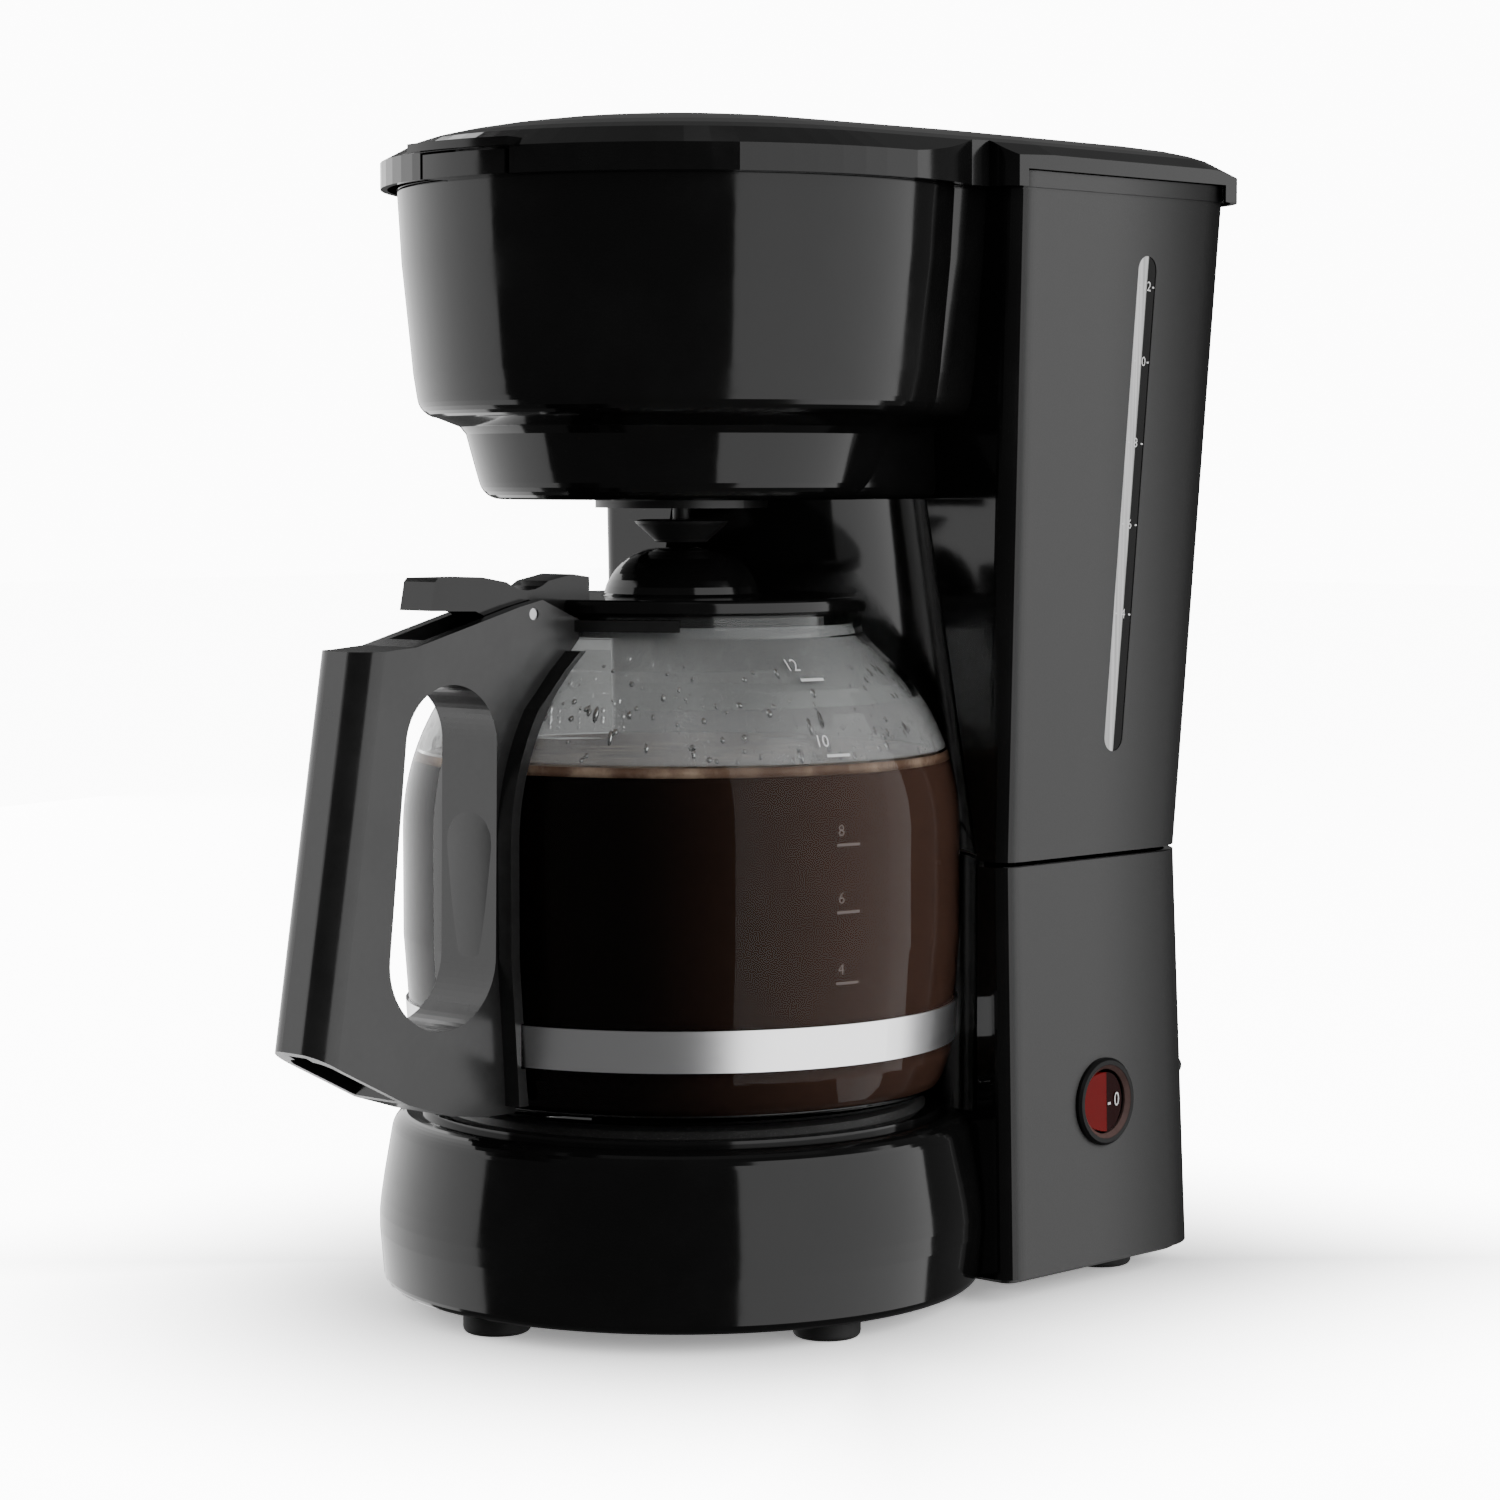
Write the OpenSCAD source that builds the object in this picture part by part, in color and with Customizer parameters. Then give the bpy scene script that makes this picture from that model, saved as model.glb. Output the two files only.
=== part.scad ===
// Drip coffee maker: a round base with a warming plate, a rear column that holds the water tank,
// a brew bowl that overhangs the carafe, and one lid over the bowl and the tank.
// The brew axis, through the warming plate, the carafe and the bowl, is vertical.
// The front is -Y, the power switch is on the +X side, and z = 0 is the surface that the feet rest on.

/* [Base] */
// Largest radius of the round base drum
drum_r = 83.4; // [78:0.2:100]
// Height of the top deck of the drum
deck_z = 52.6; // [48:0.2:60]
// Height of the drum's bottom edge above the surface
base_lift = 5; // [4:0.5:8]
// Wall of the lower housing
base_wall = 2.6; // [2:0.1:3.2]
// Radius of a rubber foot
foot_r = 9; // [6:0.5:11]

/* [Column] */
// Width of the column at its top
column_top_w = 164; // [150:1:200]
// Width of the column at the seam, where it is narrowest
column_waist_w = 155; // [140:1:190]
// Width of the column at its foot
column_foot_w = 160; // [145:1:196]
// Distance from the brew axis to the back of the column at its top
column_top_back = 150; // [140:1:180]
// Distance from the brew axis to the back of the column at the seam
column_waist_back = 135; // [126:1:170]
// Distance from the brew axis to the back of the column at its foot
column_foot_back = 139; // [130:1:175]
// Distance from the brew axis to the front faces of the column
column_front = 46; // [42:0.5:52]
// Radius of the column's front corners
front_corner_r = 6.5; // [5:0.5:9]
// Radius of the column's back corners
back_corner_r = 23; // [15:1:30]
// Height of the seam between the lower and upper housings
seam_z = 120.5; // [110:0.5:130]
// Height of the gap that shows at the seam
seam_gap = 1.4; // [0.8:0.1:2.4]
// Wall of the upper housing
upper_wall = 2.4; // [2:0.1:3]

/* [Brew head] */
// Outer radius of the brew bowl at its top edge
bowl_r = 77.4; // [74:0.2:90]
// Height of the underside of the brew bowl
bowl_floor_z = 219.5; // [216:0.5:240]
// Height of the top edge of the housing walls
wall_top_z = 307.4; // [300:0.2:330]
// How far the lid's rim stands out past the walls
rim_overhang = 4.8; // [3.6:0.1:6]
// Height of the lid's rim band
rim_h = 7; // [5:0.5:10]
// Rise of the lid's dome above its rim band
dome_rise = 13; // [8:0.5:20]
// Wall of the lid
lid_wall = 2.2; // [1.6:0.1:3]

/* [Carafe] */
// Largest outer radius of the carafe glass
glass_r = 76.5; // [70:0.5:90]
// Outer radius of the glass neck
neck_r = 49.3; // [44:0.5:56]
// Height of the mouth of the glass above the warming plate
glass_h = 131.7; // [125:0.5:140]
// Wall of the glass
glass_wall = 2.3; // [1.8:0.1:3]
// Height of the steel band
band_h = 11; // [8:0.5:14]
// Width of the carafe handle
handle_w = 21; // [17:0.5:26]
// Distance from the brew axis to the lowest front edge of the handle
handle_reach = 140.5; // [134:0.5:155]

/* [Controls] */
// Radius of the power switch's bezel
bezel_r = 12.2; // [10:0.2:15]
// Height of the power switch's centre
switch_z = 52; // [44:0.5:70]
// Width of the water level window
window_w = 8; // [6:0.5:10]
// Angle that the rocker turns between on and off
rocker_throw = 14; // [8:1:18]

/* [Hidden] */

$fn = 96;
eps = 0.01;          // thickness of the slices that a hull joins
fit = 0.3;           // gap between pieces that move past each other
shaft_fit = 0.05;    // radial gap of a pin that turns in its hole

rim_r = bowl_r + rim_overhang;
lid_back = column_top_back + rim_overhang;
// The brew axis is set so that the whole stands centred on the origin, front to back.
axis_y = (handle_reach - (lid_back + 2.1)) / 2;

/* ---- shared outlines ---- */

function mix(a, b, t) = a + (b - a) * t;
// Where a height lies between the seam and the end of its part of the column, from 0 to 1
function reach(z) = z >= seam_z ? (z - seam_z) / (wall_top_z - seam_z)
                                : (seam_z - z) / (seam_z - base_lift);
function half_w(z) = mix(column_waist_w, z >= seam_z ? column_top_w : column_foot_w, reach(z)) / 2;
function back_y(z) = mix(column_waist_back, z >= seam_z ? column_top_back : column_foot_back, reach(z));

// Points on an arc of radius r about c, from angle a to angle b
function arc(c, r, a, b, n = 8) =
    [for (i = [0:n]) c + r * [cos(a + (b - a) * i / n), sin(a + (b - a) * i / n)]];

module turn_profile(points) rotate_extrude() polygon(points);

module ring(r_out, r_in, z0, z1)
    rotate_extrude() translate([r_in, z0]) square([r_out - r_in, z1 - z0]);

// One tapered stretch of the column between two heights, shrunk all round by inset
module column(z0, z1, inset = 0)
    hull() for (z = [z0, z1 - eps], s = [-1, 1]) {
        translate([s * (half_w(z) - front_corner_r), column_front + front_corner_r, z])
            cylinder(r = front_corner_r - inset, h = eps, $fn = 48);
        translate([s * (half_w(z) - back_corner_r), back_y(z) - back_corner_r, z])
            cylinder(r = back_corner_r - inset, h = eps, $fn = 96);
    }

// The carafe bay: round about the brew axis, straight up to the seam and narrowing above it
bay_foot_r = glass_r + 5.3;
bay_top_r = neck_r + 17.7;
function bay_r(z) = mix(bay_foot_r, bay_top_r, max(0, (z - seam_z) / (bowl_floor_z - seam_z)));
module bay_at(grow, z0, z1) translate([0, 0, z0])
    cylinder(r1 = bay_r(z0) + grow, r2 = bay_r(z1) + grow, h = z1 - z0 + eps / 2);

/* ---- base ---- */

plate_r = 67.2;
plate_seat_z = deck_z + 1.4;
plate_top_z = deck_z + 4;
plate_t = 1.2;
heater_top_z = plate_top_z - plate_t;
heater_z = 44;
heater_r = 42;
cover_z = base_lift + 0.6;
cover_t = 2.4;
foot_sites = [[0, -70], [67, -14], [-67, -14], [58, 112], [-58, 112]];
post_sites = [[64, 60], [-64, 60], [30, 122], [-30, 122]];
post_r = 4.5;
post_top_z = seam_z + seam_gap / 2;

// Outer outline of the drum, shrunk by inset, with its height range
module drum(inset, z_low, z_high)
    turn_profile(concat(
        [[0, z_low]],
        arc([drum_r - 4.4 - inset / 2, z_low + 3.4], 3.4 - inset / 2, -90, -12, 5),
        [[drum_r - inset, 20], [drum_r - inset, 25], [drum_r - 0.4 - inset, 29], [drum_r - 1.3 - inset, 35]],
        arc([drum_r - 9.4, z_high - 6], 6 - inset / 2, 12, 90, 8),
        [[0, z_high - inset / 2]]));

module base_housing() color([0.06, 0.06, 0.065]) {
    difference() {
        union() {
            drum(0, base_lift, deck_z);
            difference() {
                column(base_lift + 2, seam_z - seam_gap / 2);
                bay_at(0, deck_z, seam_z);
            }
            for (p = post_sites) translate([p.x, p.y, seam_z - 6]) cylinder(r = post_r, h = post_top_z - seam_z + 6);
            // raised bead round the warming plate
            ring(plate_r + 4.4, plate_r + 0.5, deck_z - 1, deck_z + 1.3);
        }
        difference() {
            union() {
                turn_profile([[0, 0], [drum_r - 3, 0], [drum_r - base_wall, 20], [drum_r - base_wall, 25],
                              [drum_r - 1.3 - base_wall, 35], [drum_r - 6.4, deck_z - 6],
                              [drum_r - 10, deck_z - base_wall], [0, deck_z - base_wall]]);
                difference() {
                    column(0, seam_z + 1, base_wall);
                    bay_at(base_wall, deck_z - base_wall, seam_z + 1);
                }
            }
            for (p = post_sites) translate([p.x, p.y, cover_z + cover_t]) cylinder(r = post_r, h = 200);
            for (s = [-1, 1]) translate([s * bracket_x, 0, heater_z - 4.6]) cylinder(r = 4, h = 20);
        }
        // opening under the warming plate
        cylinder(r = plate_r - 5, h = deck_z + 5);
        switch_hole();
        gland_hole();
        for (p = post_sites) translate([p.x, p.y, -1]) cylinder(r = 1.75, h = post_top_z + 2, $fn = 32);
        for (s = [-1, 1]) translate([s * bracket_x, 0, 0]) cylinder(r = 1.25, h = deck_z - base_wall, $fn = 24);
    }
}

module cover_outline(inset) difference() {
    union() {
        cylinder(r = drum_r - base_wall - 1.2 - inset, h = cover_t);
        translate([0, 0, -cover_z]) intersection() {
            column(cover_z, cover_z + cover_t, base_wall + inset);
            translate([-200, 0, cover_z]) cube([400, 400, cover_t]);
        }
    }
}

module bottom_cover() color([0.05, 0.05, 0.055])
    difference() {
        translate([0, 0, cover_z]) cover_outline(fit);
        for (p = foot_sites) translate([p.x, p.y, 0]) cylinder(r = 3, h = 20, $fn = 32);
        for (p = post_sites) translate([p.x, p.y, 0]) cylinder(r = 1.8, h = 20, $fn = 32);
        // cooling slots
        for (i = [-3:3]) translate([i * 9, -22, 0]) slot_cut(3, 44);
    }

module slot_cut(w, l)
    translate([0, 0, -1]) linear_extrude(20) union() {
        translate([-w / 2, 0]) square([w, l]);
        for (y = [0, l]) translate([0, y]) circle(r = w / 2, $fn = 24);
    }

module feet() color([0.09, 0.09, 0.09])
    for (p = foot_sites) translate([p.x, p.y, 0])
        turn_profile(concat([[0, 0]], arc([foot_r - 1.6, 1.6], 1.6, -90, 0, 5),
                            [[foot_r, cover_z], [2.95, cover_z], [2.95, cover_z + cover_t],
                             [4.2, cover_z + cover_t], [3, cover_z + cover_t + 2.4],
                             [0, cover_z + cover_t + 2.4]]));

// Pan-head screw with a cross recess, head down, its shank l long
module screw(r, l, head_r, head_h)
    difference() {
        union() {
            cylinder(r = r, h = l + head_h, $fn = 24);
            turn_profile(concat([[0, 0]], arc([head_r - head_h * 0.6, head_h * 0.6], head_h * 0.6, -90, 0, 4),
                                [[head_r, head_h], [0, head_h]]));
        }
        for (a = [0, 90]) rotate([0, 0, a]) translate([-head_r * 0.55, -0.35, -0.1]) cube([head_r * 1.1, 0.7, 1.1]);
    }

module cover_screws() color([0.6, 0.6, 0.6])
    for (p = post_sites) translate([p.x, p.y, cover_z - 2.2]) screw(1.7, 20, 3.8, 2.2);

module housing_screws() color([0.6, 0.6, 0.6])
    for (p = post_sites) translate([p.x, p.y, post_top_z - 18]) screw(1.7, 26, 1.7, 2);

/* ---- warming plate and heater ---- */

bracket_x = 70;

module plate_gasket() color([0.55, 0.18, 0.12]) ring(plate_r, plate_r - 4.2, deck_z, plate_seat_z);

module warming_plate() color([0.1, 0.1, 0.1])
    turn_profile([[0, plate_top_z], [plate_r - 3.7, plate_top_z], [plate_r - 1.4, plate_top_z - 1],
                  [plate_r, plate_seat_z], [plate_r - 1.6, plate_seat_z], [plate_r - 2.6, plate_seat_z + 0.8],
                  [plate_r - 4.4, heater_top_z], [0, heater_top_z]]);

module heater_casting() color("silver") {
    // horseshoe with a flat top that presses on the plate, open to the back
    difference() {
        union() {
            rotate([0, 0, 120]) rotate_extrude(angle = 300) translate([heater_r - 8, heater_z - 1])
                square([16, heater_top_z - heater_z + 1]);
            rotate([0, 0, 120]) rotate_extrude(angle = 300) translate([heater_r, heater_z])
                circle(r = 4.6, $fn = 48);
            for (s = [-1, 1]) heater_port(s, 4.6, heater_port_y - 14);
        }
        for (s = [-1, 1]) heater_port(s, 2.6, heater_port_y + 1);
    }
    for (s = [-1, 1]) translate([0, 0, 0]) difference() {
        heater_port(s, 3.6, heater_port_y);
        heater_port(s, 2.6, heater_port_y + 1);
    }
}
heater_port_x = heater_r * sin(30);
heater_port_y = 62;
module heater_port(s, r, y1)
    translate([s * heater_port_x, heater_r * cos(30) - 2, heater_z]) rotate([-90, 0, 0])
        cylinder(r = r, h = y1 - heater_r * cos(30) + 2, $fn = 48);

module heater_terminals() color([0.75, 0.72, 0.6])
    for (s = [-1, 1]) translate([s * terminal_r * cos(60), terminal_r * sin(60), heater_z + 6])
        rotate([0, 0, s * 60]) rotate([-90, 0, 0]) {
            cylinder(r = 2, h = 4, $fn = 32);
            cylinder(r = 0.9, h = terminal_l, $fn = 24);
        }
terminal_r = heater_r - 5.5;            // distance of the terminals from the brew axis
terminal_l = 9;

module heater_bracket() color([0.7, 0.7, 0.72])
    difference() {
        union() {
            translate([-bracket_x, -6, heater_z - 6.2]) cube([2 * bracket_x, 12, 1.6]);
            for (s = [-1, 1]) translate([s * bracket_x, 0, heater_z - 6.2]) cylinder(r = 6, h = 1.6);
        }
        for (s = [-1, 1]) translate([s * bracket_x, 0, 0]) cylinder(r = 1.75, h = 100, $fn = 32);
    }

module bracket_screws() color([0.6, 0.6, 0.6])
    for (s = [-1, 1]) translate([s * bracket_x, 0, heater_z - 8.2]) screw(1.2, 7, 3.2, 2);

module thermostat() color([0.2, 0.2, 0.22]) translate([0, -24, heater_top_z]) {
    translate([0, 0, -3]) cylinder(r = 8.2, h = 3);
    translate([0, 0, -9]) cylinder(r = 7.2, h = 6.1);
    for (s = [-1, 1]) translate([s * 5 - 0.4, -2, -14]) cube([0.8, 4, 5.1]);
}

module thermal_fuse() color([0.85, 0.85, 0.8]) translate([0, 24, heater_top_z - 3.2]) rotate([0, 90, 0]) {
    translate([0, 0, -12]) cylinder(r = 3.2, h = 24, $fn = 48);
    for (s = [-1, 1]) translate([0, 0, s > 0 ? 12 : -18]) cylinder(r = 0.8, h = 6, $fn = 24);
}

/* ---- water path ---- */

hose_r = 5;
hose_bore = 3.6;
hose_bend = 12;
outlet = [heater_port_x, 100];         // tank outlet, straight above the cold port's hose
riser = [-66, 84];
valve_z = seam_z - 10;                  // lower end of the check valve
riser_foot_z = seam_z - 10;
tank_floor_z = seam_z + 16;

// Straight hose along +Z from a to b
module hose_run(l) difference() {
    cylinder(r = hose_r, h = l);
    translate([0, 0, -1]) cylinder(r = hose_bore, h = l + 2);
}
// Quarter bend in the XY plane: starts at the origin along +Y, turns towards +X
module hose_quarter() translate([hose_bend, 0, 0]) rotate([0, 0, 90]) rotate_extrude(angle = 90)
    translate([hose_bend, 0]) difference() { circle(r = hose_r); circle(r = hose_bore); }

module cold_water_hose() color([0.85, 0.85, 0.82, 0.9]) {
    y0 = heater_port_y - 10;
    y1 = outlet.y - hose_bend;
    translate([outlet.x, y0, heater_z]) rotate([-90, 0, 0]) hose_run(y1 - y0);
    translate([outlet.x, y1, heater_z]) rotate([0, -90, 0]) hose_quarter();
    translate([outlet.x, outlet.y, heater_z + hose_bend]) hose_run(valve_z + 8 - heater_z - hose_bend);
}

module hot_water_hose() color([0.85, 0.85, 0.82, 0.9]) {
    y0 = heater_port_y - 10;
    y1 = riser.y - hose_bend;
    x0 = -heater_port_x - hose_bend;
    x1 = riser.x + hose_bend;
    translate([-heater_port_x, y0, heater_z]) rotate([-90, 0, 0]) hose_run(y1 - y0);
    translate([-heater_port_x, y1, heater_z]) rotate([0, 180, 0]) hose_quarter();
    translate([x1, riser.y, heater_z]) rotate([0, 90, 0]) hose_run(x0 - x1);
    translate([x1, riser.y, heater_z]) rotate([0, 0, 90]) rotate([0, -90, 0]) hose_quarter();
    translate([riser.x, riser.y, heater_z + hose_bend]) hose_run(riser_foot_z + 8 - heater_z - hose_bend);
}

module hose_clamps() color([0.7, 0.7, 0.72]) {
    for (s = [-1, 1]) translate([s * heater_port_x, heater_port_y - 6, heater_z]) rotate([-90, 0, 0]) clip();
    translate([outlet.x, outlet.y, valve_z + 2]) clip();
    translate([riser.x, riser.y, riser_foot_z + 2]) clip();
}
module clip() {
    ring(hose_r + 0.9, hose_r, 0, 4);
    for (s = [-1, 1]) translate([s * 1.6 - 0.5, hose_r + 0.6, 0]) cube([1, 3.6, 4]);
}

module check_valve_body() color([0.9, 0.9, 0.88]) translate([outlet.x, outlet.y, 0])
    turn_profile([[hose_bore, valve_z], [hose_bore, valve_z + 8.4], [5.6, valve_z + 8.4], [5.6, valve_z + 17.4],
                  [tank_spigot_r, valve_z + 17.4], [tank_spigot_r, valve_z + 16], [4.4, valve_z + 16],
                  [4.4, valve_z + 9.6], [2.2, valve_z + 8.4], [2.2, valve_z]]);
module check_valve_ball() color([0.8, 0.8, 0.8])
    translate([outlet.x, outlet.y, valve_z + 11]) sphere(r = 3.2);

module riser_pipe() color([0.9, 0.9, 0.88]) translate([riser.x, riser.y, 0]) {
    ring(hose_bore, 2.4, riser_foot_z, wall_top_z - 6);
    ring(5.6, hose_bore - 0.01, riser_foot_z + 8.4, riser_foot_z + 10);
    turn_profile([[hose_bore - 0.01, wall_top_z - 12], [4.6, wall_top_z - 12], [4.6, wall_top_z - 4],
                  [1.8, wall_top_z - 4], [1.8, wall_top_z - 6.01], [hose_bore - 0.01, wall_top_z - 6.01]]);
}

tank_spigot_r = 3.4;
tank_wall = 1.8;
tank_top_z = wall_top_z - 7.4;

// Space of the tank: the column behind the bay and the bowl, clear of the riser
module tank_block(inset, z0, z1)
    difference() {
        column(z0, z1, upper_wall + 0.7 + inset);
        turn_profile([[0, seam_z - 4], [bay_foot_r + 4 + inset, seam_z - 4],
                      [bay_top_r + 8.2 + inset, bowl_floor_z - 30], [bowl_r - 1.8 + inset, bowl_floor_z + 40],
                      [bowl_r + 1.5 + inset, wall_top_z], [0, wall_top_z]]);
        translate([riser.x, riser.y, 0]) cylinder(r = 8.5 + inset, h = 400);
        translate([riser.x - 30, riser.y - 30, 0]) cube([30 + 8.5 + inset, 30, 400]);
    }

module reservoir_tank() color([0.75, 0.77, 0.78, 0.5])
    difference() {
        union() {
            tank_block(0, tank_floor_z, tank_top_z);
            translate([outlet.x, outlet.y, seam_z + 5.4]) cylinder(r = tank_spigot_r, h = tank_floor_z - seam_z - 5);
            translate([outlet.x, outlet.y, tank_floor_z - 5]) cylinder(r = 8, h = 5.1);
        }
        tank_block(tank_wall, tank_floor_z + 2, wall_top_z);
        translate([outlet.x, outlet.y, 0]) cylinder(r = 2.2, h = 200, $fn = 48);
    }

module tank_seal() color([0.5, 0.12, 0.1]) translate([outlet.x, outlet.y, 0])
    turn_profile([[tank_spigot_r, seam_z + 7.4], [5.6, seam_z + 7.4], [5.6, tank_floor_z - 5], [tank_spigot_r, tank_floor_z - 5]]);

/* ---- wiring, cord gland ---- */

gland = [57, 53.5];                     // x and height of the cord gland in the back wall
gland_r = 3.1;
gland_out = 11;
gland_wall_y = back_y(gland.y);
module gland_hole() translate([gland.x, gland_wall_y - 20, gland.y]) rotate([-90, 0, 0]) cylinder(r = 4.2, h = 40, $fn = 48);
module cord_gland() color([0.08, 0.08, 0.08]) translate([gland.x, gland_wall_y, gland.y]) rotate([-90, 0, 0])
    turn_profile([[1.9, -12], [5.4, -12], [5.4, -4.4], [4.2, -4.4], [4.2, 1.2], [4, 2], [gland_r + 0.3, 3],
                  [gland_r, gland_out - 1], [gland_r - 0.6, gland_out], [1.9, gland_out]]);

// A round wire along hand-set points
module wire(points, r = 1.1)
    for (i = [0:len(points) - 2]) {
        d = points[i + 1] - points[i];
        translate(points[i]) rotate([0, acos(d.z / norm(d)), atan2(d.y, d.x)]) cylinder(r = r, h = norm(d));
        if (i > 0) translate(points[i]) sphere(r = r * 1.35);
    }

// Ends of the leads: the switch's tabs, the thermostat, the fuse, a heater pin and the gland
tab_x = half_w(switch_z) - 30.2;
pin_end = [terminal_r * cos(60) - terminal_l * sin(60), terminal_r * sin(60) + terminal_l * cos(60), heater_z + 6];
wire_paths = [
    [[tab_x, 82.5, 52], [44, 82.5, 46], [44, 60, 24], [30, 10, 22], [5, -24, 26], [5, -24, heater_top_z - 14.1]],
    [pin_end, pin_end + 4 * [-sin(60), cos(60), 0], [7, 44, 32], [36, 70, 28], [44, 91.5, 44], [tab_x, 91.5, 52]],
    [[-19.4, 24, heater_top_z - 3.2], [-20, 21, 46], [-16, 22, 30], [-8, 70, 24], [38, 106, 38],
     [gland.x, gland_wall_y - 20, gland.y], [gland.x, gland_wall_y - 12.1, gland.y]]
];
module power_wires() color([0.6, 0.1, 0.1]) {
    for (path = wire_paths) wire(path);
}

/* ---- switch and window ---- */

switch_y = 87;
panel_x = half_w(switch_z);
switch_lean = atan((column_foot_w - column_waist_w) / 2 / (seam_z - base_lift));
// Places the switch's own frame: +Z out of the side panel, +X to the back, +Y up
module at_switch() translate([panel_x, switch_y, switch_z]) rotate([0, -switch_lean, 0]) rotate([90, 0, 90]) children();
module switch_hole() at_switch() translate([0, 0, -12]) cylinder(r = bezel_r - 1.6, h = 24);

module switch_bezel() color([0.1, 0.1, 0.1]) at_switch()
    difference() {
        turn_profile([[bezel_r - 3.2, -10], [bezel_r - 1.8, -10], [bezel_r - 1.8, 0.02], [bezel_r, 0.02],
                      [bezel_r, 1.1], [bezel_r - 0.7, 1.8], [bezel_r - 1.9, 1.8], [bezel_r - 3.2, 0.6]]);
        translate([0, bezel_r, -rocker_axis_in]) rotate([90, 0, 0])
            cylinder(r = rocker_pin_r + shaft_fit, h = 2 * bezel_r, $fn = 32);
    }

module switch_body() color([0.12, 0.12, 0.12]) at_switch() {
    difference() {
        translate([0, 0, -22]) cylinder(r = bezel_r - 3.2, h = 12);
        translate([-5, -3, -14]) cube([10, 6, 5]);
    }
    for (s = [-1, 0, 1]) translate([s * 4.5 - 0.4, -3, -29]) cube([0.8, 6, 7.1]);
}

rocker_r = bezel_r - 3.6;
rocker_pin_r = 1.2;
rocker_axis_in = 4;                    // depth of the rocker's pivot below the panel
module switch_rocker() color([0.75, 0.05, 0.05]) at_switch() translate([0, 0, -rocker_axis_in])
    rotate([0, -rocker_throw / 2, 0]) union() {
        intersection() {
            rotate([90, 0, 0]) translate([0, 0, -rocker_r])
                linear_extrude(2 * rocker_r) polygon([[-rocker_r, 3.4], [0, 5.6], [rocker_r, 3.4], [rocker_r, -1.5], [-rocker_r, -1.5]]);
            translate([0, 0, -5]) cylinder(r1 = rocker_r - 1.4, r2 = rocker_r - 0.2, h = 12);
        }
        rotate([90, 0, 0]) translate([0, 0, -(rocker_r + 1.2)])
            cylinder(r = rocker_pin_r, h = 2 * (rocker_r + 1.2), $fn = 32);
    }

window_y = 96.5;
window_low_z = 149.5;
window_high_z = 287;
panel_lean = atan((column_top_w - column_waist_w) / 2 / (wall_top_z - seam_z));
window_slant = 4.4;                    // the window leans back with the rear edge of the column
module at_window() translate([half_w(window_low_z), window_y - 5.3, window_low_z]) rotate([0, panel_lean, 0])
    rotate([-window_slant, 0, 0]) children();
module window_solid(grow, x0, x1) at_window() rotate([90, 0, 90]) translate([0, 0, x0]) linear_extrude(x1 - x0)
    union() {
        for (z = [window_w / 2, window_high_z - window_low_z - window_w / 2])
            translate([0, z]) circle(r = window_w / 2 + grow);
        translate([-window_w / 2 - grow, window_w / 2])
            square([window_w + 2 * grow, window_high_z - window_low_z - window_w]);
    }
module level_window() color([0.8, 0.84, 0.86, 0.5]) window_solid(0, -upper_wall + 0.6, -0.2);

/* ---- upper housing ---- */

// Outer outline of the brew bowl: [radius, height], from its top edge to its underside
bowl_h = wall_top_z - bowl_floor_z;
function bowl_points(inset) = concat(
    [[bowl_r - inset, wall_top_z + (inset > 0 ? 1 : 0)], [bowl_r - 1.4 - inset, wall_top_z - 24],
     [bowl_r - 4.4 - inset, bowl_floor_z + 34]],
    arc([bowl_r - 11.4, bowl_floor_z + 28], 6 - inset, -6, -84, 6),
    [[bowl_r - 17 - inset * 0.6, bowl_floor_z + 19.6 + inset], [bowl_r - 18.6 - inset, bowl_floor_z + 17.6 + inset * 0.6],
     [bowl_r - 21.2 - inset, bowl_floor_z + 8]],
    arc([bowl_r - 28, bowl_floor_z + 6], 6 - inset, -14, -90, 6),
    [[0, bowl_floor_z + inset]]);
module bowl(inset) turn_profile(concat([[0, wall_top_z + (inset > 0 ? 1 : 0)]], bowl_points(inset)));

// Flat-sided neck that joins the bowl to the column, shrunk by inset
neck_in = 7.4;                          // how much narrower than the bowl the neck is, a side
module neck(inset, y1) intersection() {
    rotate([90, 0, 0]) mirror([0, 0, 1]) linear_extrude(y1) polygon(concat(
        [for (p = bowl_points(inset)) [max(p.x - neck_in * min(1, (p.y - bowl_floor_z) / 20 + 0.2), 0), p.y]],
        [for (i = [len(bowl_points(inset)) - 1:-1:0]) let (p = bowl_points(inset)[i])
            [-max(p.x - neck_in * min(1, (p.y - bowl_floor_z) / 20 + 0.2), 0), p.y]]));
    translate([-200, 0, 0]) cube([400, 400, 400]);
}

spout_hole_r = 26;
shell_floor_z = seam_z + seam_gap / 2 + 2.5;
tab_angle = 11;                         // half the angle that the latch block at the front takes
hinge_z = wall_top_z - rim_h + 3.1;
hinge_y = column_top_back + 3.5;
knuckle_r = 3.4;
pin_r = 1.5;
knuckle_sites = [-48, 48];              // middle of each pair of knuckles
knuckle_w = 7;                          // width of a knuckle

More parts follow.
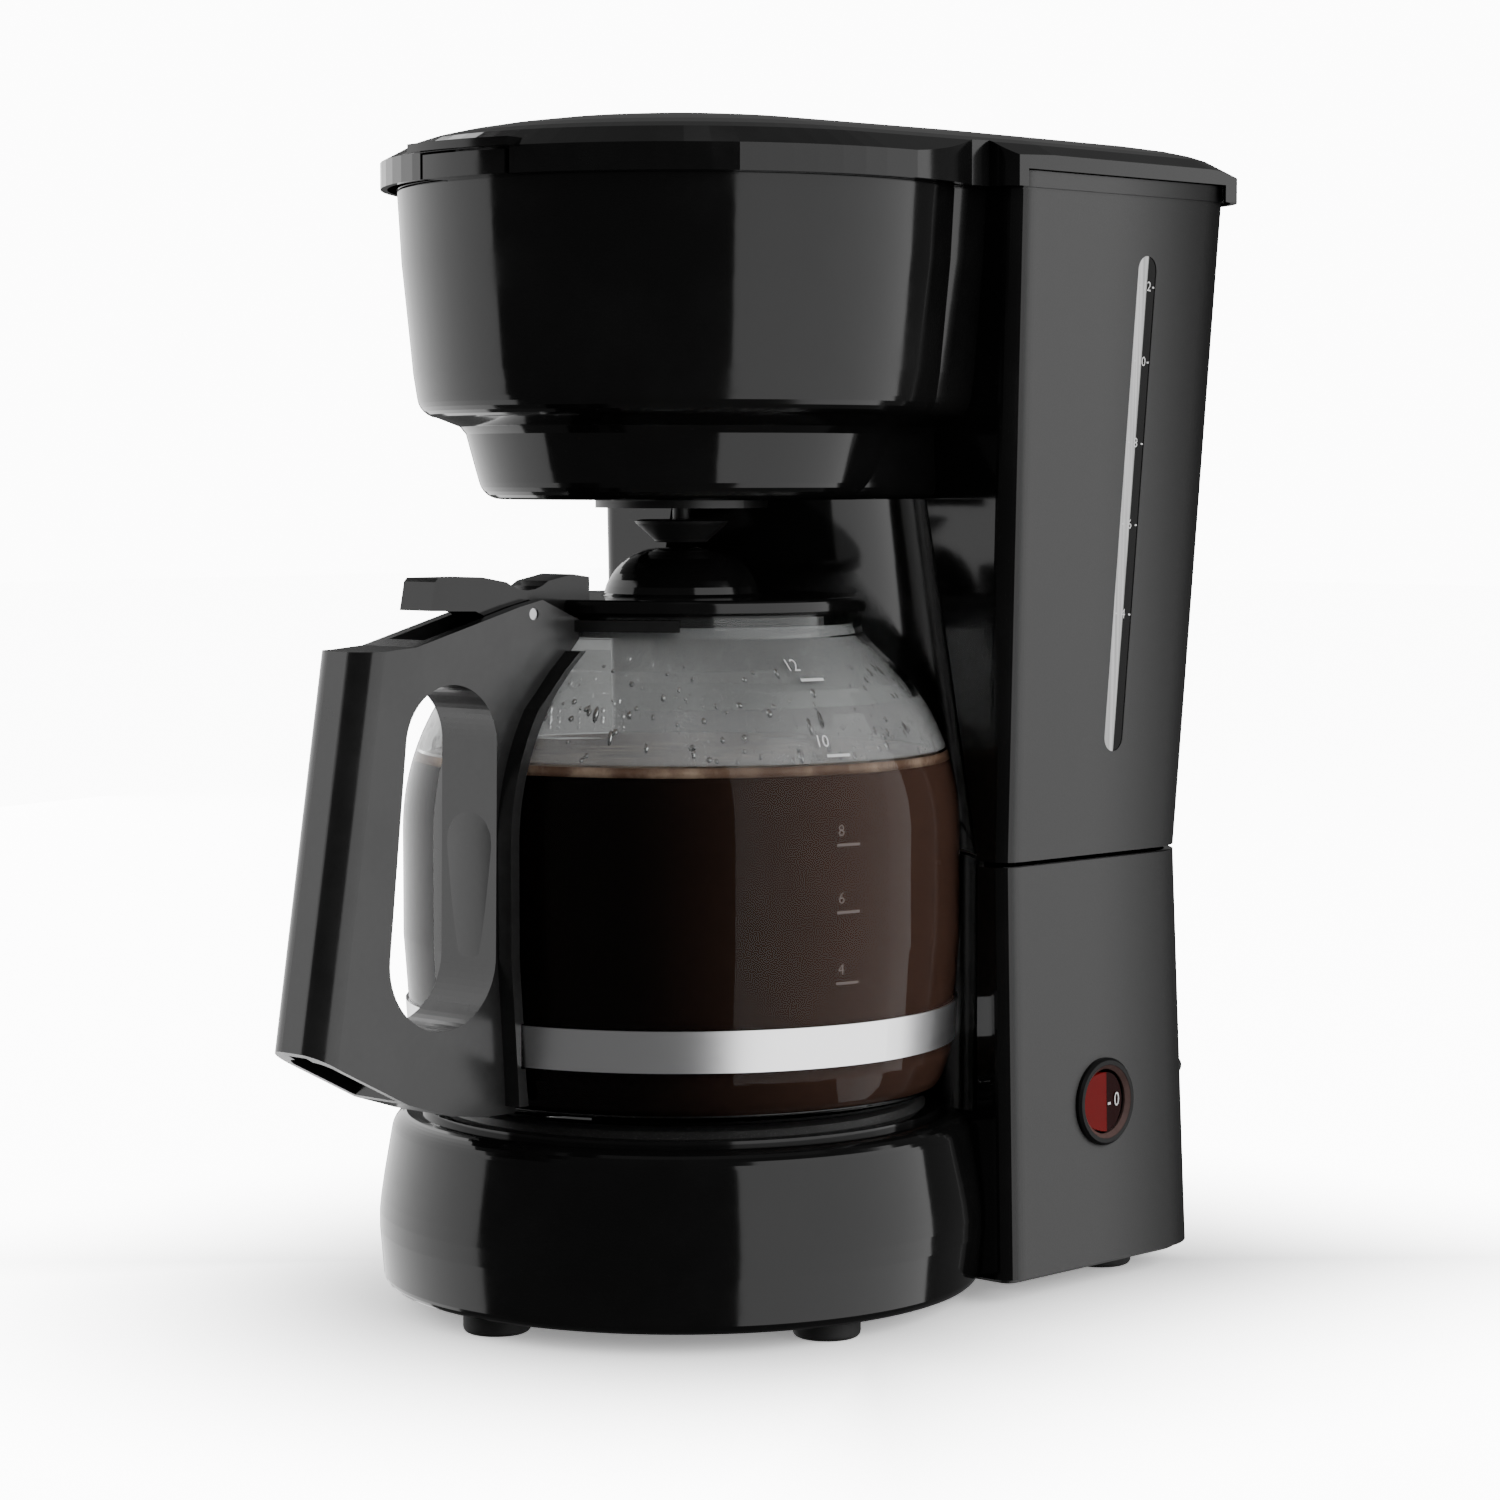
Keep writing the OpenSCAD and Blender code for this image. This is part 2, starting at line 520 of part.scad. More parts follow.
module upper_housing() color([0.05, 0.05, 0.055]) {
    difference() {
        union() {
            upper_shell();
            for (p = post_sites) translate([p.x, p.y, post_top_z]) cylinder(r = post_r, h = 14);
        }
        for (p = post_sites) translate([p.x, p.y, post_top_z - 1]) cylinder(r = 1.75, h = 11.1, $fn = 32);
    }
    // latch block in the gap at the front of the lid's rim
    rotate([0, 0, -90 - tab_angle]) rotate_extrude(angle = 2 * tab_angle)
        translate([bowl_r - 1, wall_top_z - rim_h + 2.6]) square([rim_overhang + 0.4, rim_h - 0.8]);
    // ledges that the tank stands on
    for (s = [-1, 1]) translate([s * 36 - 2, 99, shell_floor_z - 0.1]) cube([4, 14, tank_floor_z - shell_floor_z + 0.1]);
    for (x = knuckle_sites, s = [-1, 1]) translate([x + s * (knuckle_w + 0.4), 0, 0]) housing_knuckle();
}

module upper_shell()
    difference() {
        union() {
            bowl(0);
            neck(0, column_front + 4);
            difference() {
                column(seam_z + seam_gap / 2, wall_top_z);
                bay_at(0, seam_z, bowl_floor_z);
            }
        }
        bowl(upper_wall);
        // hollow of the column and the neck, round the outside of the bowl and the bay
        difference() {
            union() {
                column(shell_floor_z, wall_top_z + 1, upper_wall);
                difference() {
                    neck(upper_wall, column_front + 10);
                    translate([-200, -200, -1]) cube([400, 400, bowl_floor_z + 24]);
                }
            }
            bay_at(upper_wall, seam_z, bowl_floor_z + upper_wall);
            bowl(0);
        }
        // inner walls end below the lid
        translate([0, 0, wall_top_z - 4.9]) linear_extrude(10) rim_outline(-upper_wall);
        cylinder(r = spout_hole_r, h = 400);
        window_solid(0, -10, 10);
        translate([outlet.x, outlet.y, 0]) cylinder(r = 6.2, h = 200);
        translate([riser.x, riser.y, 0]) cylinder(r = 6.2, h = 200);
        // line round the walls level with the foot of the lid's rim
        translate([0, 0, rim_low_z - 0.7]) linear_extrude(0.7) difference() {
            square(500, center = true);
            rim_outline(-0.5);
        }
    }

module housing_knuckle() translate([-knuckle_w / 2, hinge_y, hinge_z]) difference() {
    union() {
        rotate([0, 90, 0]) cylinder(r = knuckle_r, h = knuckle_w);
        translate([0, -hinge_y + column_top_back - 1.2, -knuckle_r]) cube([knuckle_w, hinge_y - column_top_back + 1.2, knuckle_r]);
    }
    translate([-1, 0, 0]) rotate([0, 90, 0]) cylinder(r = pin_r, h = knuckle_w + 2, $fn = 48);
}

module lid_hinge_pins() color([0.75, 0.75, 0.76])
    for (x = knuckle_sites) translate([x - 1.5 * knuckle_w - 0.2, hinge_y, hinge_z]) rotate([0, 90, 0])
        cylinder(r = pin_r, h = 3 * knuckle_w + 0.4, $fn = 48);

/* ---- lid ---- */

// Plan outline of the housing's top, grown by g: bowl, neck and column in one
module rim_outline(g) union() {
    circle(r = bowl_r + g);
    translate([-(bowl_r - neck_in + g), 0]) square([2 * (bowl_r - neck_in + g), column_front + 10]);
    for (s = [-1, 1]) {
        translate([s * (column_top_w / 2 - front_corner_r), column_front + front_corner_r]) circle(r = front_corner_r + g);
        translate([s * (column_top_w / 2 - back_corner_r), column_top_back - back_corner_r]) circle(r = back_corner_r + g);
    }
    translate([-column_top_w / 2 + front_corner_r, column_front - g])
        square([column_top_w - 2 * front_corner_r, 2 * g + 30]);
    translate([-column_top_w / 2 + back_corner_r, column_front + 10])
        square([column_top_w - 2 * back_corner_r, column_top_back - column_front - 10 + g]);
    translate([-column_top_w / 2 - g, column_front + front_corner_r])
        square([column_top_w + 2 * g, column_top_back - column_front - front_corner_r - back_corner_r]);
}

// The same outline held in at the column's sides, where the rim is nearly flush
module lid_plan(g) intersection() {
    rim_outline(g);
    square([column_top_w + 2 * side_overhang, 400], center = true);
}
side_overhang = 1;

rim_low_z = wall_top_z - rim_h + 2.6;
rim_high_z = rim_low_z + rim_h;
lid_peak_z = rim_high_z + dome_rise;
// Steps of the dome: how far in from the rim each one lies, and its share of the rise
dome_steps = [[0.6, 0], [5, 0.17], [9.5, 0.36], [14, 0.47], [21, 0.59], [30, 0.71], [42, 0.83], [56, 0.93], [72, 1]];
// One domed solid: slices of the rim outline's hull, each further in and higher
module dome(inset, drop, z_low)
    hull() {
        translate([0, 0, z_low]) dome_slice(inset + dome_steps[0].x);
        for (d = dome_steps) translate([0, 0, rim_high_z + d.y * dome_rise - drop]) dome_slice(inset + d.x);
    }
module dome_slice(inset) {
    cylinder(r = rim_r - inset, h = 0.05, $fn = 72);
    for (s = [-1, 1]) {
        r = max(back_corner_r + rim_overhang - inset, 5);
        translate([s * (column_top_w / 2 + rim_overhang - inset - r), lid_back - inset - r, 0])
            cylinder(r = r, h = 0.05, $fn = 48);
        translate([s * (column_top_w / 2 + rim_overhang - inset - 6), column_front + 12, 0])
            cylinder(r = 6, h = 0.05, $fn = 32);
    }
}

module machine_lid() color([0.05, 0.05, 0.055]) {
    difference() {
        intersection() {
            dome(0, 0, rim_low_z);
            translate([0, 0, rim_low_z]) linear_extrude(rim_h + dome_rise + 1) lid_plan(rim_overhang);
        }
        // hollow that takes the top of the walls, and the dome's own hollow above it
        translate([0, 0, rim_low_z - 1]) linear_extrude(wall_top_z + fit - rim_low_z + 1) rim_outline(rim_overhang - 2.5);
        intersection() {
            dome(lid_wall * 1.6, lid_wall, wall_top_z - 1);
            translate([0, 0, wall_top_z - 1]) linear_extrude(30) rim_outline(-upper_wall);
        }
        // gap for the latch block
        rotate([0, 0, -90 - tab_angle - 1]) rotate_extrude(angle = 2 * tab_angle + 2)
            translate([bowl_r - 2, rim_low_z - 1]) square([rim_overhang + 6, rim_h + 0.8]);
        for (x = knuckle_sites) hinge_clearance(x);
    }
    // lugs between the housing's knuckles
    for (x = knuckle_sites) difference() {
        translate([x - knuckle_w / 2, hinge_y, hinge_z]) {
            rotate([0, 90, 0]) cylinder(r = knuckle_r - 0.2, h = knuckle_w);
            translate([0, -2.2, 0]) cube([knuckle_w, 2.2 + knuckle_r - 0.2, rim_high_z - hinge_z - 0.5]);
        }
        translate([x - 20, hinge_y, hinge_z]) rotate([0, 90, 0]) cylinder(r = pin_r + shaft_fit, h = 40, $fn = 48);
    }
    // finger tab over the latch block
    rotate([0, 0, -90 - tab_angle - 2]) rotate_extrude(angle = 2 * tab_angle + 4)
        translate([bowl_r - 5, rim_high_z - 0.1]) square([rim_overhang + 7.4, 2.2]);
    for (p = shower_screw_sites) translate([p.x, p.y, shower_z + 4]) difference() {
        cylinder(r = 3.4, h = lid_peak_z - 1.8 - shower_z - 4);
        translate([0, 0, -1]) cylinder(r = 1.2, h = 7, $fn = 24);
    }
}

module hinge_clearance(x) translate([x - 1.5 * knuckle_w - 0.8, hinge_y, hinge_z]) {
    translate([0, -knuckle_r - 0.4, -8]) cube([3 * knuckle_w + 1.6, 12, 8 + knuckle_r + 0.4]);
}

/* ---- shower plate under the lid ---- */

shower_z = wall_top_z - 2.6;
shower_screw_sites = [[0, 14], [-34, 42]];
module shower_plate() color([0.1, 0.1, 0.1])
    difference() {
        translate([0, 0, shower_z]) linear_extrude(4) union() {
            circle(r = 24);
            channel_outline(9);
        }
        translate([0, 0, shower_z + 1.6]) linear_extrude(5) difference() {
            union() { circle(r = 22.4); channel_outline(7.4); }
            for (p = shower_screw_sites) translate(p) circle(r = 3.8);
        }
        for (r = [6, 12, 18], a = [0:60:300]) rotate([0, 0, a + r * 5]) translate([r, 0, 0]) cylinder(r = 1, h = 400, $fn = 16);
        translate([riser.x, riser.y, 0]) cylinder(r = 5.6, h = 400);
        for (p = shower_screw_sites) translate([p.x, p.y, 0]) cylinder(r = 1.5, h = 400, $fn = 24);
    }
// Straight channel from the riser to the brew axis
module channel_outline(w) {
    translate(riser) circle(r = w);
    rotate([0, 0, atan2(riser.y, riser.x)]) translate([0, -w]) square([norm(riser), 2 * w]);
}
module shower_screws() color([0.6, 0.6, 0.6])
    for (p = shower_screw_sites) translate([p.x, p.y, shower_z - 1.8]) screw(1.2, 8, 2.8, 1.8);

/* ---- filter basket ---- */

basket_wall = 1.8;
basket_gap = 2.2;
basket_rim_z = wall_top_z - 8.4;
basket_floor_z = bowl_floor_z + upper_wall + 2;
function basket_points(d) = [
    [bowl_r - upper_wall - basket_gap - 0.6 - d, basket_rim_z], [bowl_r - 4.6 - upper_wall - basket_gap - d, bowl_floor_z + 36],
    [bowl_r - 6 - upper_wall - basket_gap - d, bowl_floor_z + 30], [bowl_r - 21 - upper_wall - basket_gap - d, bowl_floor_z + 20],
    [bowl_r - 24 - upper_wall - basket_gap - d, basket_floor_z + d]];
drip_plate_r = 23.6;
drip_plate_z = bowl_floor_z - 2.3;
drain_r = 4;
cage_r = 12;
cage_top_z = basket_floor_z + 20;

module filter_basket() color([0.08, 0.08, 0.08]) {
    difference() {
        union() {
            turn_profile(concat([[0, basket_rim_z]], basket_points(0), [[0, basket_floor_z]]));
            ring(bowl_r - upper_wall - 1.2, 60, basket_rim_z - 2, basket_rim_z);
            translate([0, 0, drip_plate_z]) cylinder(r = drip_plate_r, h = basket_floor_z - drip_plate_z + 0.5);
        }
        turn_profile(concat([[0, basket_rim_z + 1], [basket_points(basket_wall)[0].x, basket_rim_z + 1]], basket_points(basket_wall),
                            [[0, basket_floor_z + basket_wall]]));
        cylinder(r = drain_r, h = 400, $fn = 48);
        // hollow under the floor, with a skirt round the drip plate
        translate([0, 0, drip_plate_z - 1]) ring(drip_plate_r - 2, drain_r + 2, 0, basket_floor_z - drip_plate_z - 0.8);
        for (s = [-1, 1]) bail_bore(s);
    }
    // spring cage: three legs and a cap over the drain
    for (a = [30:120:270]) rotate([0, 0, a]) translate([cage_r - 2, -1.5, basket_floor_z + basket_wall - 0.1])
        cube([2, 3, cage_top_z - basket_floor_z - basket_wall + 0.1]);
    translate([0, 0, cage_top_z - 1.6]) ring(cage_r, 3.4, 0, 1.6);
    // ribs that hold the paper off the wall
    for (a = [0:30:330]) rotate([0, 0, a + 15]) rotate([90, 0, 0]) translate([0, 0, -0.8]) linear_extrude(1.6)
        polygon([[basket_points(basket_wall)[2].x + 0.3, bowl_floor_z + 31], [basket_points(basket_wall)[3].x + 0.6, bowl_floor_z + 20.6],
                 [basket_points(basket_wall)[3].x - 2.4, bowl_floor_z + 20.6], [basket_points(basket_wall)[2].x - 2.4, bowl_floor_z + 31]]);
}

bail_z = basket_rim_z - 4.6;
bail_pin_r = 1.8;
bail_r = 62;
module bail_bore(s) translate([s * 50, 0, bail_z]) rotate([0, s * 90, 0]) cylinder(r = bail_pin_r + shaft_fit, h = 40, $fn = 32);
module basket_bail() color([0.08, 0.08, 0.08]) {
    difference() {
        translate([0, 0, bail_z - 1.8]) ring(bail_r + 1.8, bail_r - 1.8, 0, 3.6);
        translate([-100, 0, 0]) cube([200, 200, 400]);
    }
    for (s = [-1, 1]) translate([s * (bail_r - 1.8), 0, bail_z]) rotate([0, s * 90, 0])
        cylinder(r = bail_pin_r, h = basket_points(0)[0].x - bail_r + 1.2, $fn = 32);
}

/* ---- drip-stop valve ---- */

valve_tip_z = bowl_floor_z - 11.7;
valve_rim_z = bowl_floor_z - 5.9;
stem_r = 2.4;
seal_z = basket_floor_z + basket_wall + 0.1;
module drip_valve() color([0.1, 0.1, 0.1]) {
    turn_profile(concat([[0, valve_tip_z]], arc([6.6, valve_tip_z + 1], 1, -90, -20, 3),
        [[12.4, valve_rim_z - 0.8], [12.9, valve_rim_z], [11, valve_rim_z + 0.4], [stem_r, valve_rim_z + 0.4]],
        [[stem_r, seal_z + 0.9], [7.6, seal_z + 0.9], [7.6, seal_z + 2.4], [stem_r, seal_z + 2.4],
         [stem_r, cage_top_z + 2], [0, cage_top_z + 2]]));
}
module valve_seal() color([0.45, 0.12, 0.1]) ring(7.6, stem_r, seal_z, seal_z + 0.9);

spring_wire = 0.45;
spring_r = 5.6;
spring_low_z = seal_z + 2.4 + spring_wire;
spring_high_z = cage_top_z - 1.6 - spring_wire;
spring_turns = 5;
module valve_spring() color([0.75, 0.75, 0.76]) coil(spring_r, spring_wire, spring_low_z, spring_high_z, spring_turns);
// Helical wire with flat ends, swept as one polyhedron: a ring of points every sixteenth of a turn
module coil(r, w, z0, z1, turns, per = 16, sides = 6) {
    n = turns * per;
    function height(i) = mix(z0, z1, min(max((i / per - 0.75) / (turns - 1.5), 0), 1));
    points = [for (i = [0:n], k = [0:sides - 1]) let (a = 360 * i / per, b = 360 * k / sides)
        [(r + w * cos(b)) * cos(a), (r + w * cos(b)) * sin(a), height(i) + w * sin(b)]];
    walls = [for (i = [0:n - 1], k = [0:sides - 1]) let (a = i * sides + k, b = i * sides + (k + 1) % sides)
        [a, b, b + sides, a + sides]];
    polyhedron(points, concat(walls, [[for (k = [sides - 1:-1:0]) k], [for (k = [0:sides - 1]) n * sides + k]]), convexity = 10);
}

/* ---- carafe ---- */

glass_low_z = plate_top_z + 0.3;
mouth_z = glass_low_z + glass_h;
// Outer outline of the glass from its foot up to its mouth, grown by g
function glass_points(g) = concat(
    arc([glass_r - 12 , glass_low_z + 8], 8 + g, -80, -20, 6),
    [[glass_r - 2.2 + g, glass_low_z + 12], [glass_r - 1.3 + g, glass_low_z + 26], [glass_r + g, glass_low_z + 44]],
    arc([glass_r - 65.6, glass_low_z + 73], 65.6 + g, 0, 31, 12),
    [[glass_r - 13.2 + g * 0.8, glass_low_z + 112.6], [glass_r - 18 + g * 0.75, glass_low_z + 118],
     [neck_r + 3.6 + g * 0.7, glass_low_z + 123.2], [neck_r + 0.9 + g * 0.9, glass_low_z + 126],
     [neck_r + g, glass_low_z + 128.4], [neck_r + g, mouth_z]]);

module carafe_glass() color([0.8, 0.85, 0.88, 0.3])
    difference() {
        turn_profile(concat([[0, glass_low_z + 1.2], [glass_r - 22, glass_low_z + 1], [glass_r - 18, glass_low_z]],
                            glass_points(0), [[0, mouth_z]]));
        turn_profile(concat([[0, glass_low_z + 3.6], [glass_r - 18, glass_low_z + 2.8]],
                            [for (p = glass_points(-glass_wall)) [p.x, max(p.y, glass_low_z + 2.8)]],
                            [[neck_r - glass_wall, mouth_z + 1], [0, mouth_z + 1]]));
    }

band_z = glass_low_z + 15.4;
band_t = 0.8;
function glass_at(z) = mix(glass_r - 2.2, glass_r - 1.3, (z - glass_low_z - 12) / 14);
module carafe_band() color([0.8, 0.8, 0.82]) {
    turn_profile([[glass_at(band_z) + 0.05, band_z], [glass_at(band_z) + band_t, band_z],
                  [glass_at(band_z + band_h) + band_t, band_z + band_h], [glass_at(band_z + band_h) + 0.05, band_z + band_h]]);
    // ears that the handle's screw pulls together
    difference() {
        translate([-4.2, -glass_r - 5.5, band_z + 1]) cube([8.4, 7, band_h - 2]);
        translate([-2.2, -glass_r - 6, band_z]) cube([4.4, 6.4, band_h]);
        band_screw_hole(1.65);
        translate([0, 0, band_z]) cylinder(r = glass_r + 0.05, h = band_h);
    }
}
band_screw_z = band_z + band_h / 2;
module band_screw_hole(r) translate([-30, -glass_r - 3, band_screw_z]) rotate([0, 90, 0]) cylinder(r = r, h = 60, $fn = 32);
module band_screw() color([0.6, 0.6, 0.6]) translate([-6.2, -glass_r - 3, band_screw_z]) rotate([0, 90, 0])
    screw(1.6, 10.6, 2.4, 2);
module band_nut() color([0.6, 0.6, 0.6]) translate([4.2, -glass_r - 3, band_screw_z]) rotate([0, 90, 0])
    difference() {
        cylinder(r = 2.6, h = 1.8, $fn = 6);
        translate([0, 0, -1]) cylinder(r = 1.6, h = 5, $fn = 32);
    }

/* ---- carafe handle ---- */

handle_lean = 9.3;                      // the front face leans this much from the vertical
handle_low_z = 79;
handle_top_z = 182;
grip_corner = 7;
lid_pin = [-65.5, 190];                 // y and height of the carafe lid's hinge pin
lever_w = 12;
slot_floor_z = 176.2;

// Side view of the handle, y across and height up
handle_side = [[-150, 60], [-150, 181.6], [-117, 181.8], [-106.3, 182.6], [-70.3, 192], [-62.4, 193.6], [-47.2, 187.3],
               [-40, 184], [-40, 100], [-40, 59.4], [-84, 59.9], [-96, 61.6], [-110, 66], [-132, 77], [-141, 82]];

module finger_hole(grow) hull() {
    translate([-94.5, 157]) circle(r = 15.6 + grow, $fn = 64);
    translate([-97.8, 101.8]) circle(r = 18.2 + grow, $fn = 64);
}
// Turns a side view into a slab of width w
module side_slab(w) rotate([90, 0, 90]) translate([0, 0, -w / 2]) linear_extrude(w) children();

module grip_block(inset) translate([0, -handle_reach + inset, handle_low_z]) rotate([-handle_lean, 0, 0])
    translate([0, 0, -40]) linear_extrude(170) union() {
        for (s = [-1, 1]) translate([s * (handle_w / 2 - grip_corner), grip_corner]) circle(r = grip_corner - inset, $fn = 64);
        translate([-handle_w / 2 + grip_corner, 0]) square([handle_w - 2 * grip_corner, 30]);
        translate([-handle_w / 2 + inset, grip_corner]) square([handle_w - 2 * inset, 150]);
    }

module glass_envelope(g) {
    turn_profile(concat([[0, glass_low_z - 5], [glass_r - 4 + g, glass_low_z - 5]],
                        [for (p = glass_points(g)) if (p.y > glass_low_z + 6) p], [[neck_r + g, mouth_z + 8], [0, mouth_z + 8]]));
    translate([0, 0, band_z - 0.4]) cylinder(r = glass_r - 1.2 + band_t + g, h = band_h + 0.8);
}

module carafe_handle() color([0.09, 0.09, 0.095])
    difference() {
        union() {
            difference() {
                intersection() {
                    side_slab(handle_w) polygon(handle_side);
                    grip_block(0);
                }
                // open underside and hollow front
                intersection() {
                    grip_block(2.4);
                    side_slab(handle_w - 5) difference() {
                        polygon([[-150, 50], [-150, 176], [-112, 176], [-112, 50]]);
                        finger_hole(3);
                    }
                }
                side_slab(40) finger_hole(0);
                // slot for the lid's lever
                translate([-lever_w / 2 - 0.8, -100.5, slot_floor_z]) cube([lever_w + 1.6, 100, 40]);
            }
            // flared pad that hugs the glass, and the arms round the neck
            flare(15);
            rotate([0, 0, -90 - 44]) rotate_extrude(angle = 88)
                translate([neck_r + 0.3, mouth_z - 3.6]) square([2.4, 3]);
        }
        glass_envelope(0.3);
        translate([-7, -glass_r - 7, 50]) cube([14, 10, band_z + band_h + 0.4 - 50]);
        translate([-30, lid_pin.x, lid_pin.y]) rotate([0, 90, 0]) cylinder(r = 1.6, h = 60, $fn = 32);
        translate([-lever_w / 2 - 0.8, -100.5, slot_floor_z + 2]) cube([lever_w + 1.6, 100, 40]);
    }

// Part of a shell round the glass, hw to each side of the middle, between the handle's ends
module flare(hw) intersection() {
    translate([-hw, -glass_r - 6, 62]) cube([2 * hw, 60, 118]);
    turn_profile(concat([[0, 61], [glass_r + 0.6, 61]],
                        [for (p = glass_points(3.2)) if (p.y > glass_low_z + 10) p], [[neck_r + 3.4, mouth_z - 4], [0, mouth_z - 4]]));
}

/* ---- carafe lid ---- */

lid_disc_r = neck_r + 1.3;
lid_disc_z = mouth_z + 0.5;
lid_disc_top = lid_disc_z + 4.2;
lid_peak = valve_tip_z - 1.5;
module carafe_lid() color([0.05, 0.05, 0.055]) {
    difference() {
        union() {
            turn_profile(concat([[0, lid_disc_z], [lid_disc_r - 0.6, lid_disc_z], [lid_disc_r, lid_disc_z + 0.8]],
                                arc([lid_disc_r - 1.4, lid_disc_top - 1.4], 1.4, 0, 90, 4),
                                [[22.2, lid_disc_top]],
                                arc([6, lid_peak - 15.6], 15.6, 12, 84, 10),
                                [[4.6, lid_peak], [4, lid_peak - 1.4], [0, lid_peak - 1.4]]));
            ring(neck_r - glass_wall - 0.6, neck_r - glass_wall - 2.4, lid_disc_z - 6, lid_disc_z + 0.1);
            lid_bridge();
        }
        turn_profile([[0, lid_disc_z - 1], [18.6, lid_disc_z - 1], [18.6, lid_disc_top], [15, lid_peak - 5.4],
                      [8, lid_peak - 2.6], [0, lid_peak - 2.6]]);
        cylinder(r = 2.4, h = 400, $fn = 32);
        translate([-30, lid_pin.x, lid_pin.y]) rotate([0, 90, 0]) cylinder(r = 1.6 + shaft_fit, h = 60, $fn = 32);
    }
}
// Saddle-shaped bridge from the lid to the lever, over the hinge pin
module lid_bridge() side_slab(lever_w) polygon(concat(
    [[-41, lid_disc_z + 0.2], [-41, 199.2], [-47, 200]],
    arc([lid_pin.x + 2, 209], 13, -55, -125, 6),
    [[-78.5, 199.6], [-80, 199.8], [-95, 199.8], [-96, 198.8], [-97.5, 191.4], [-82, 191], [-72, 187],
     [-64, 186.2], [-54, 189.2]]));

module carafe_lid_pin() color([0.75, 0.75, 0.76]) translate([-handle_w / 2 + 0.4, lid_pin.x, lid_pin.y]) rotate([0, 90, 0])
    cylinder(r = 1.6, h = handle_w - 0.8, $fn = 32);

/* ---- assembly ---- */

module place() translate([0, axis_y, 0]) children();

place() {
    base_housing();
    bottom_cover();
    feet();
    cover_screws();
    plate_gasket();
    warming_plate();
    heater_casting();
    heater_terminals();
    heater_bracket();
    bracket_screws();
    thermostat();
    thermal_fuse();
    cold_water_hose();
    hot_water_hose();
    hose_clamps();
    check_valve_body();
    check_valve_ball();
    riser_pipe();
    power_wires();
    cord_gland();
    upper_housing();
    housing_screws();
    reservoir_tank();
    tank_seal();
    level_window();
    switch_bezel();
    switch_body();
    lid_hinge_pins();
    switch_rocker();
    machine_lid();
    shower_plate();
    shower_screws();
    filter_basket();
    basket_bail();
    drip_valve();
    valve_seal();
    valve_spring();
    carafe_glass();
    carafe_band();
    band_screw();
    band_nut();
    carafe_handle();
    carafe_lid();
    carafe_lid_pin();
}
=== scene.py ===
import math

import bpy
import numpy as np
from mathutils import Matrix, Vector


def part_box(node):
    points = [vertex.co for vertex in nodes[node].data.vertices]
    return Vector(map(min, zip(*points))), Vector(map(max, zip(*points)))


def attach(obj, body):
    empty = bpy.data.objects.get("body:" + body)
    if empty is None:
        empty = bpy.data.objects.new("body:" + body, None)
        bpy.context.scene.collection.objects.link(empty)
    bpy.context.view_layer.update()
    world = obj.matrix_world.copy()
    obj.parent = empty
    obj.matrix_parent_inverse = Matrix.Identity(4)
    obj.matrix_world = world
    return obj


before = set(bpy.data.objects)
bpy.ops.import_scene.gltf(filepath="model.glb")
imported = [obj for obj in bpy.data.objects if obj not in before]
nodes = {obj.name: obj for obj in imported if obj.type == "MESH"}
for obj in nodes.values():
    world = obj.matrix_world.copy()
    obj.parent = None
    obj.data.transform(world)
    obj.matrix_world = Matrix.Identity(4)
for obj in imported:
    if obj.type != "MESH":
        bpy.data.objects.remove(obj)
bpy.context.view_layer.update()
MM = 0.001


def middle(node, axis):
    """Halfway between a CAD node's lowest and highest corner along one axis."""
    low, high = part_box(node)
    return (low[axis] + high[axis]) / 2


brew_y = middle("warming_plate", 1)     # the brew axis stands at x = 0, y = brew_y
bezel_proud = 1.8 * MM                  # the bezel's rim stands out of the side panel by this
bezel_face_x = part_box("switch_bezel")[1][0]
switch_at = [bezel_face_x - bezel_proud, middle("switch_bezel", 1), middle("switch_bezel", 2)]
window_slant = math.radians(4.4)        # the level window leans back by this
window_lean = math.radians(1.38)        # and out, with the side panel
window_half = 4 * MM                    # half its width
window_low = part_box("level_window")[0]
window_low_z = window_low[2]
window_low_y = window_low[1] + window_half

# ---------------------------------------------------------------- camera

camera_reach = 1.097                    # camera's distance from the brew axis, in plan
camera_turn = math.radians(44.5)
camera_height = 0.227
camera_down = 3.98                      # degrees below level
camera_aside = math.radians(0.98)       # how far it looks past the brew axis
camera_data = bpy.data.cameras.new("camera")
camera_data.lens = 96
camera_data.sensor_width = 36
camera = bpy.data.objects.new("camera", camera_data)
camera.location = (camera_reach * math.sin(camera_turn), brew_y - camera_reach * math.cos(camera_turn),
                   camera_height)
camera.rotation_euler = (math.radians(90 - camera_down), 0, camera_turn - camera_aside)
bpy.context.scene.collection.objects.link(camera)
bpy.context.scene.camera = camera

# ---------------------------------------------------------------- shader maths


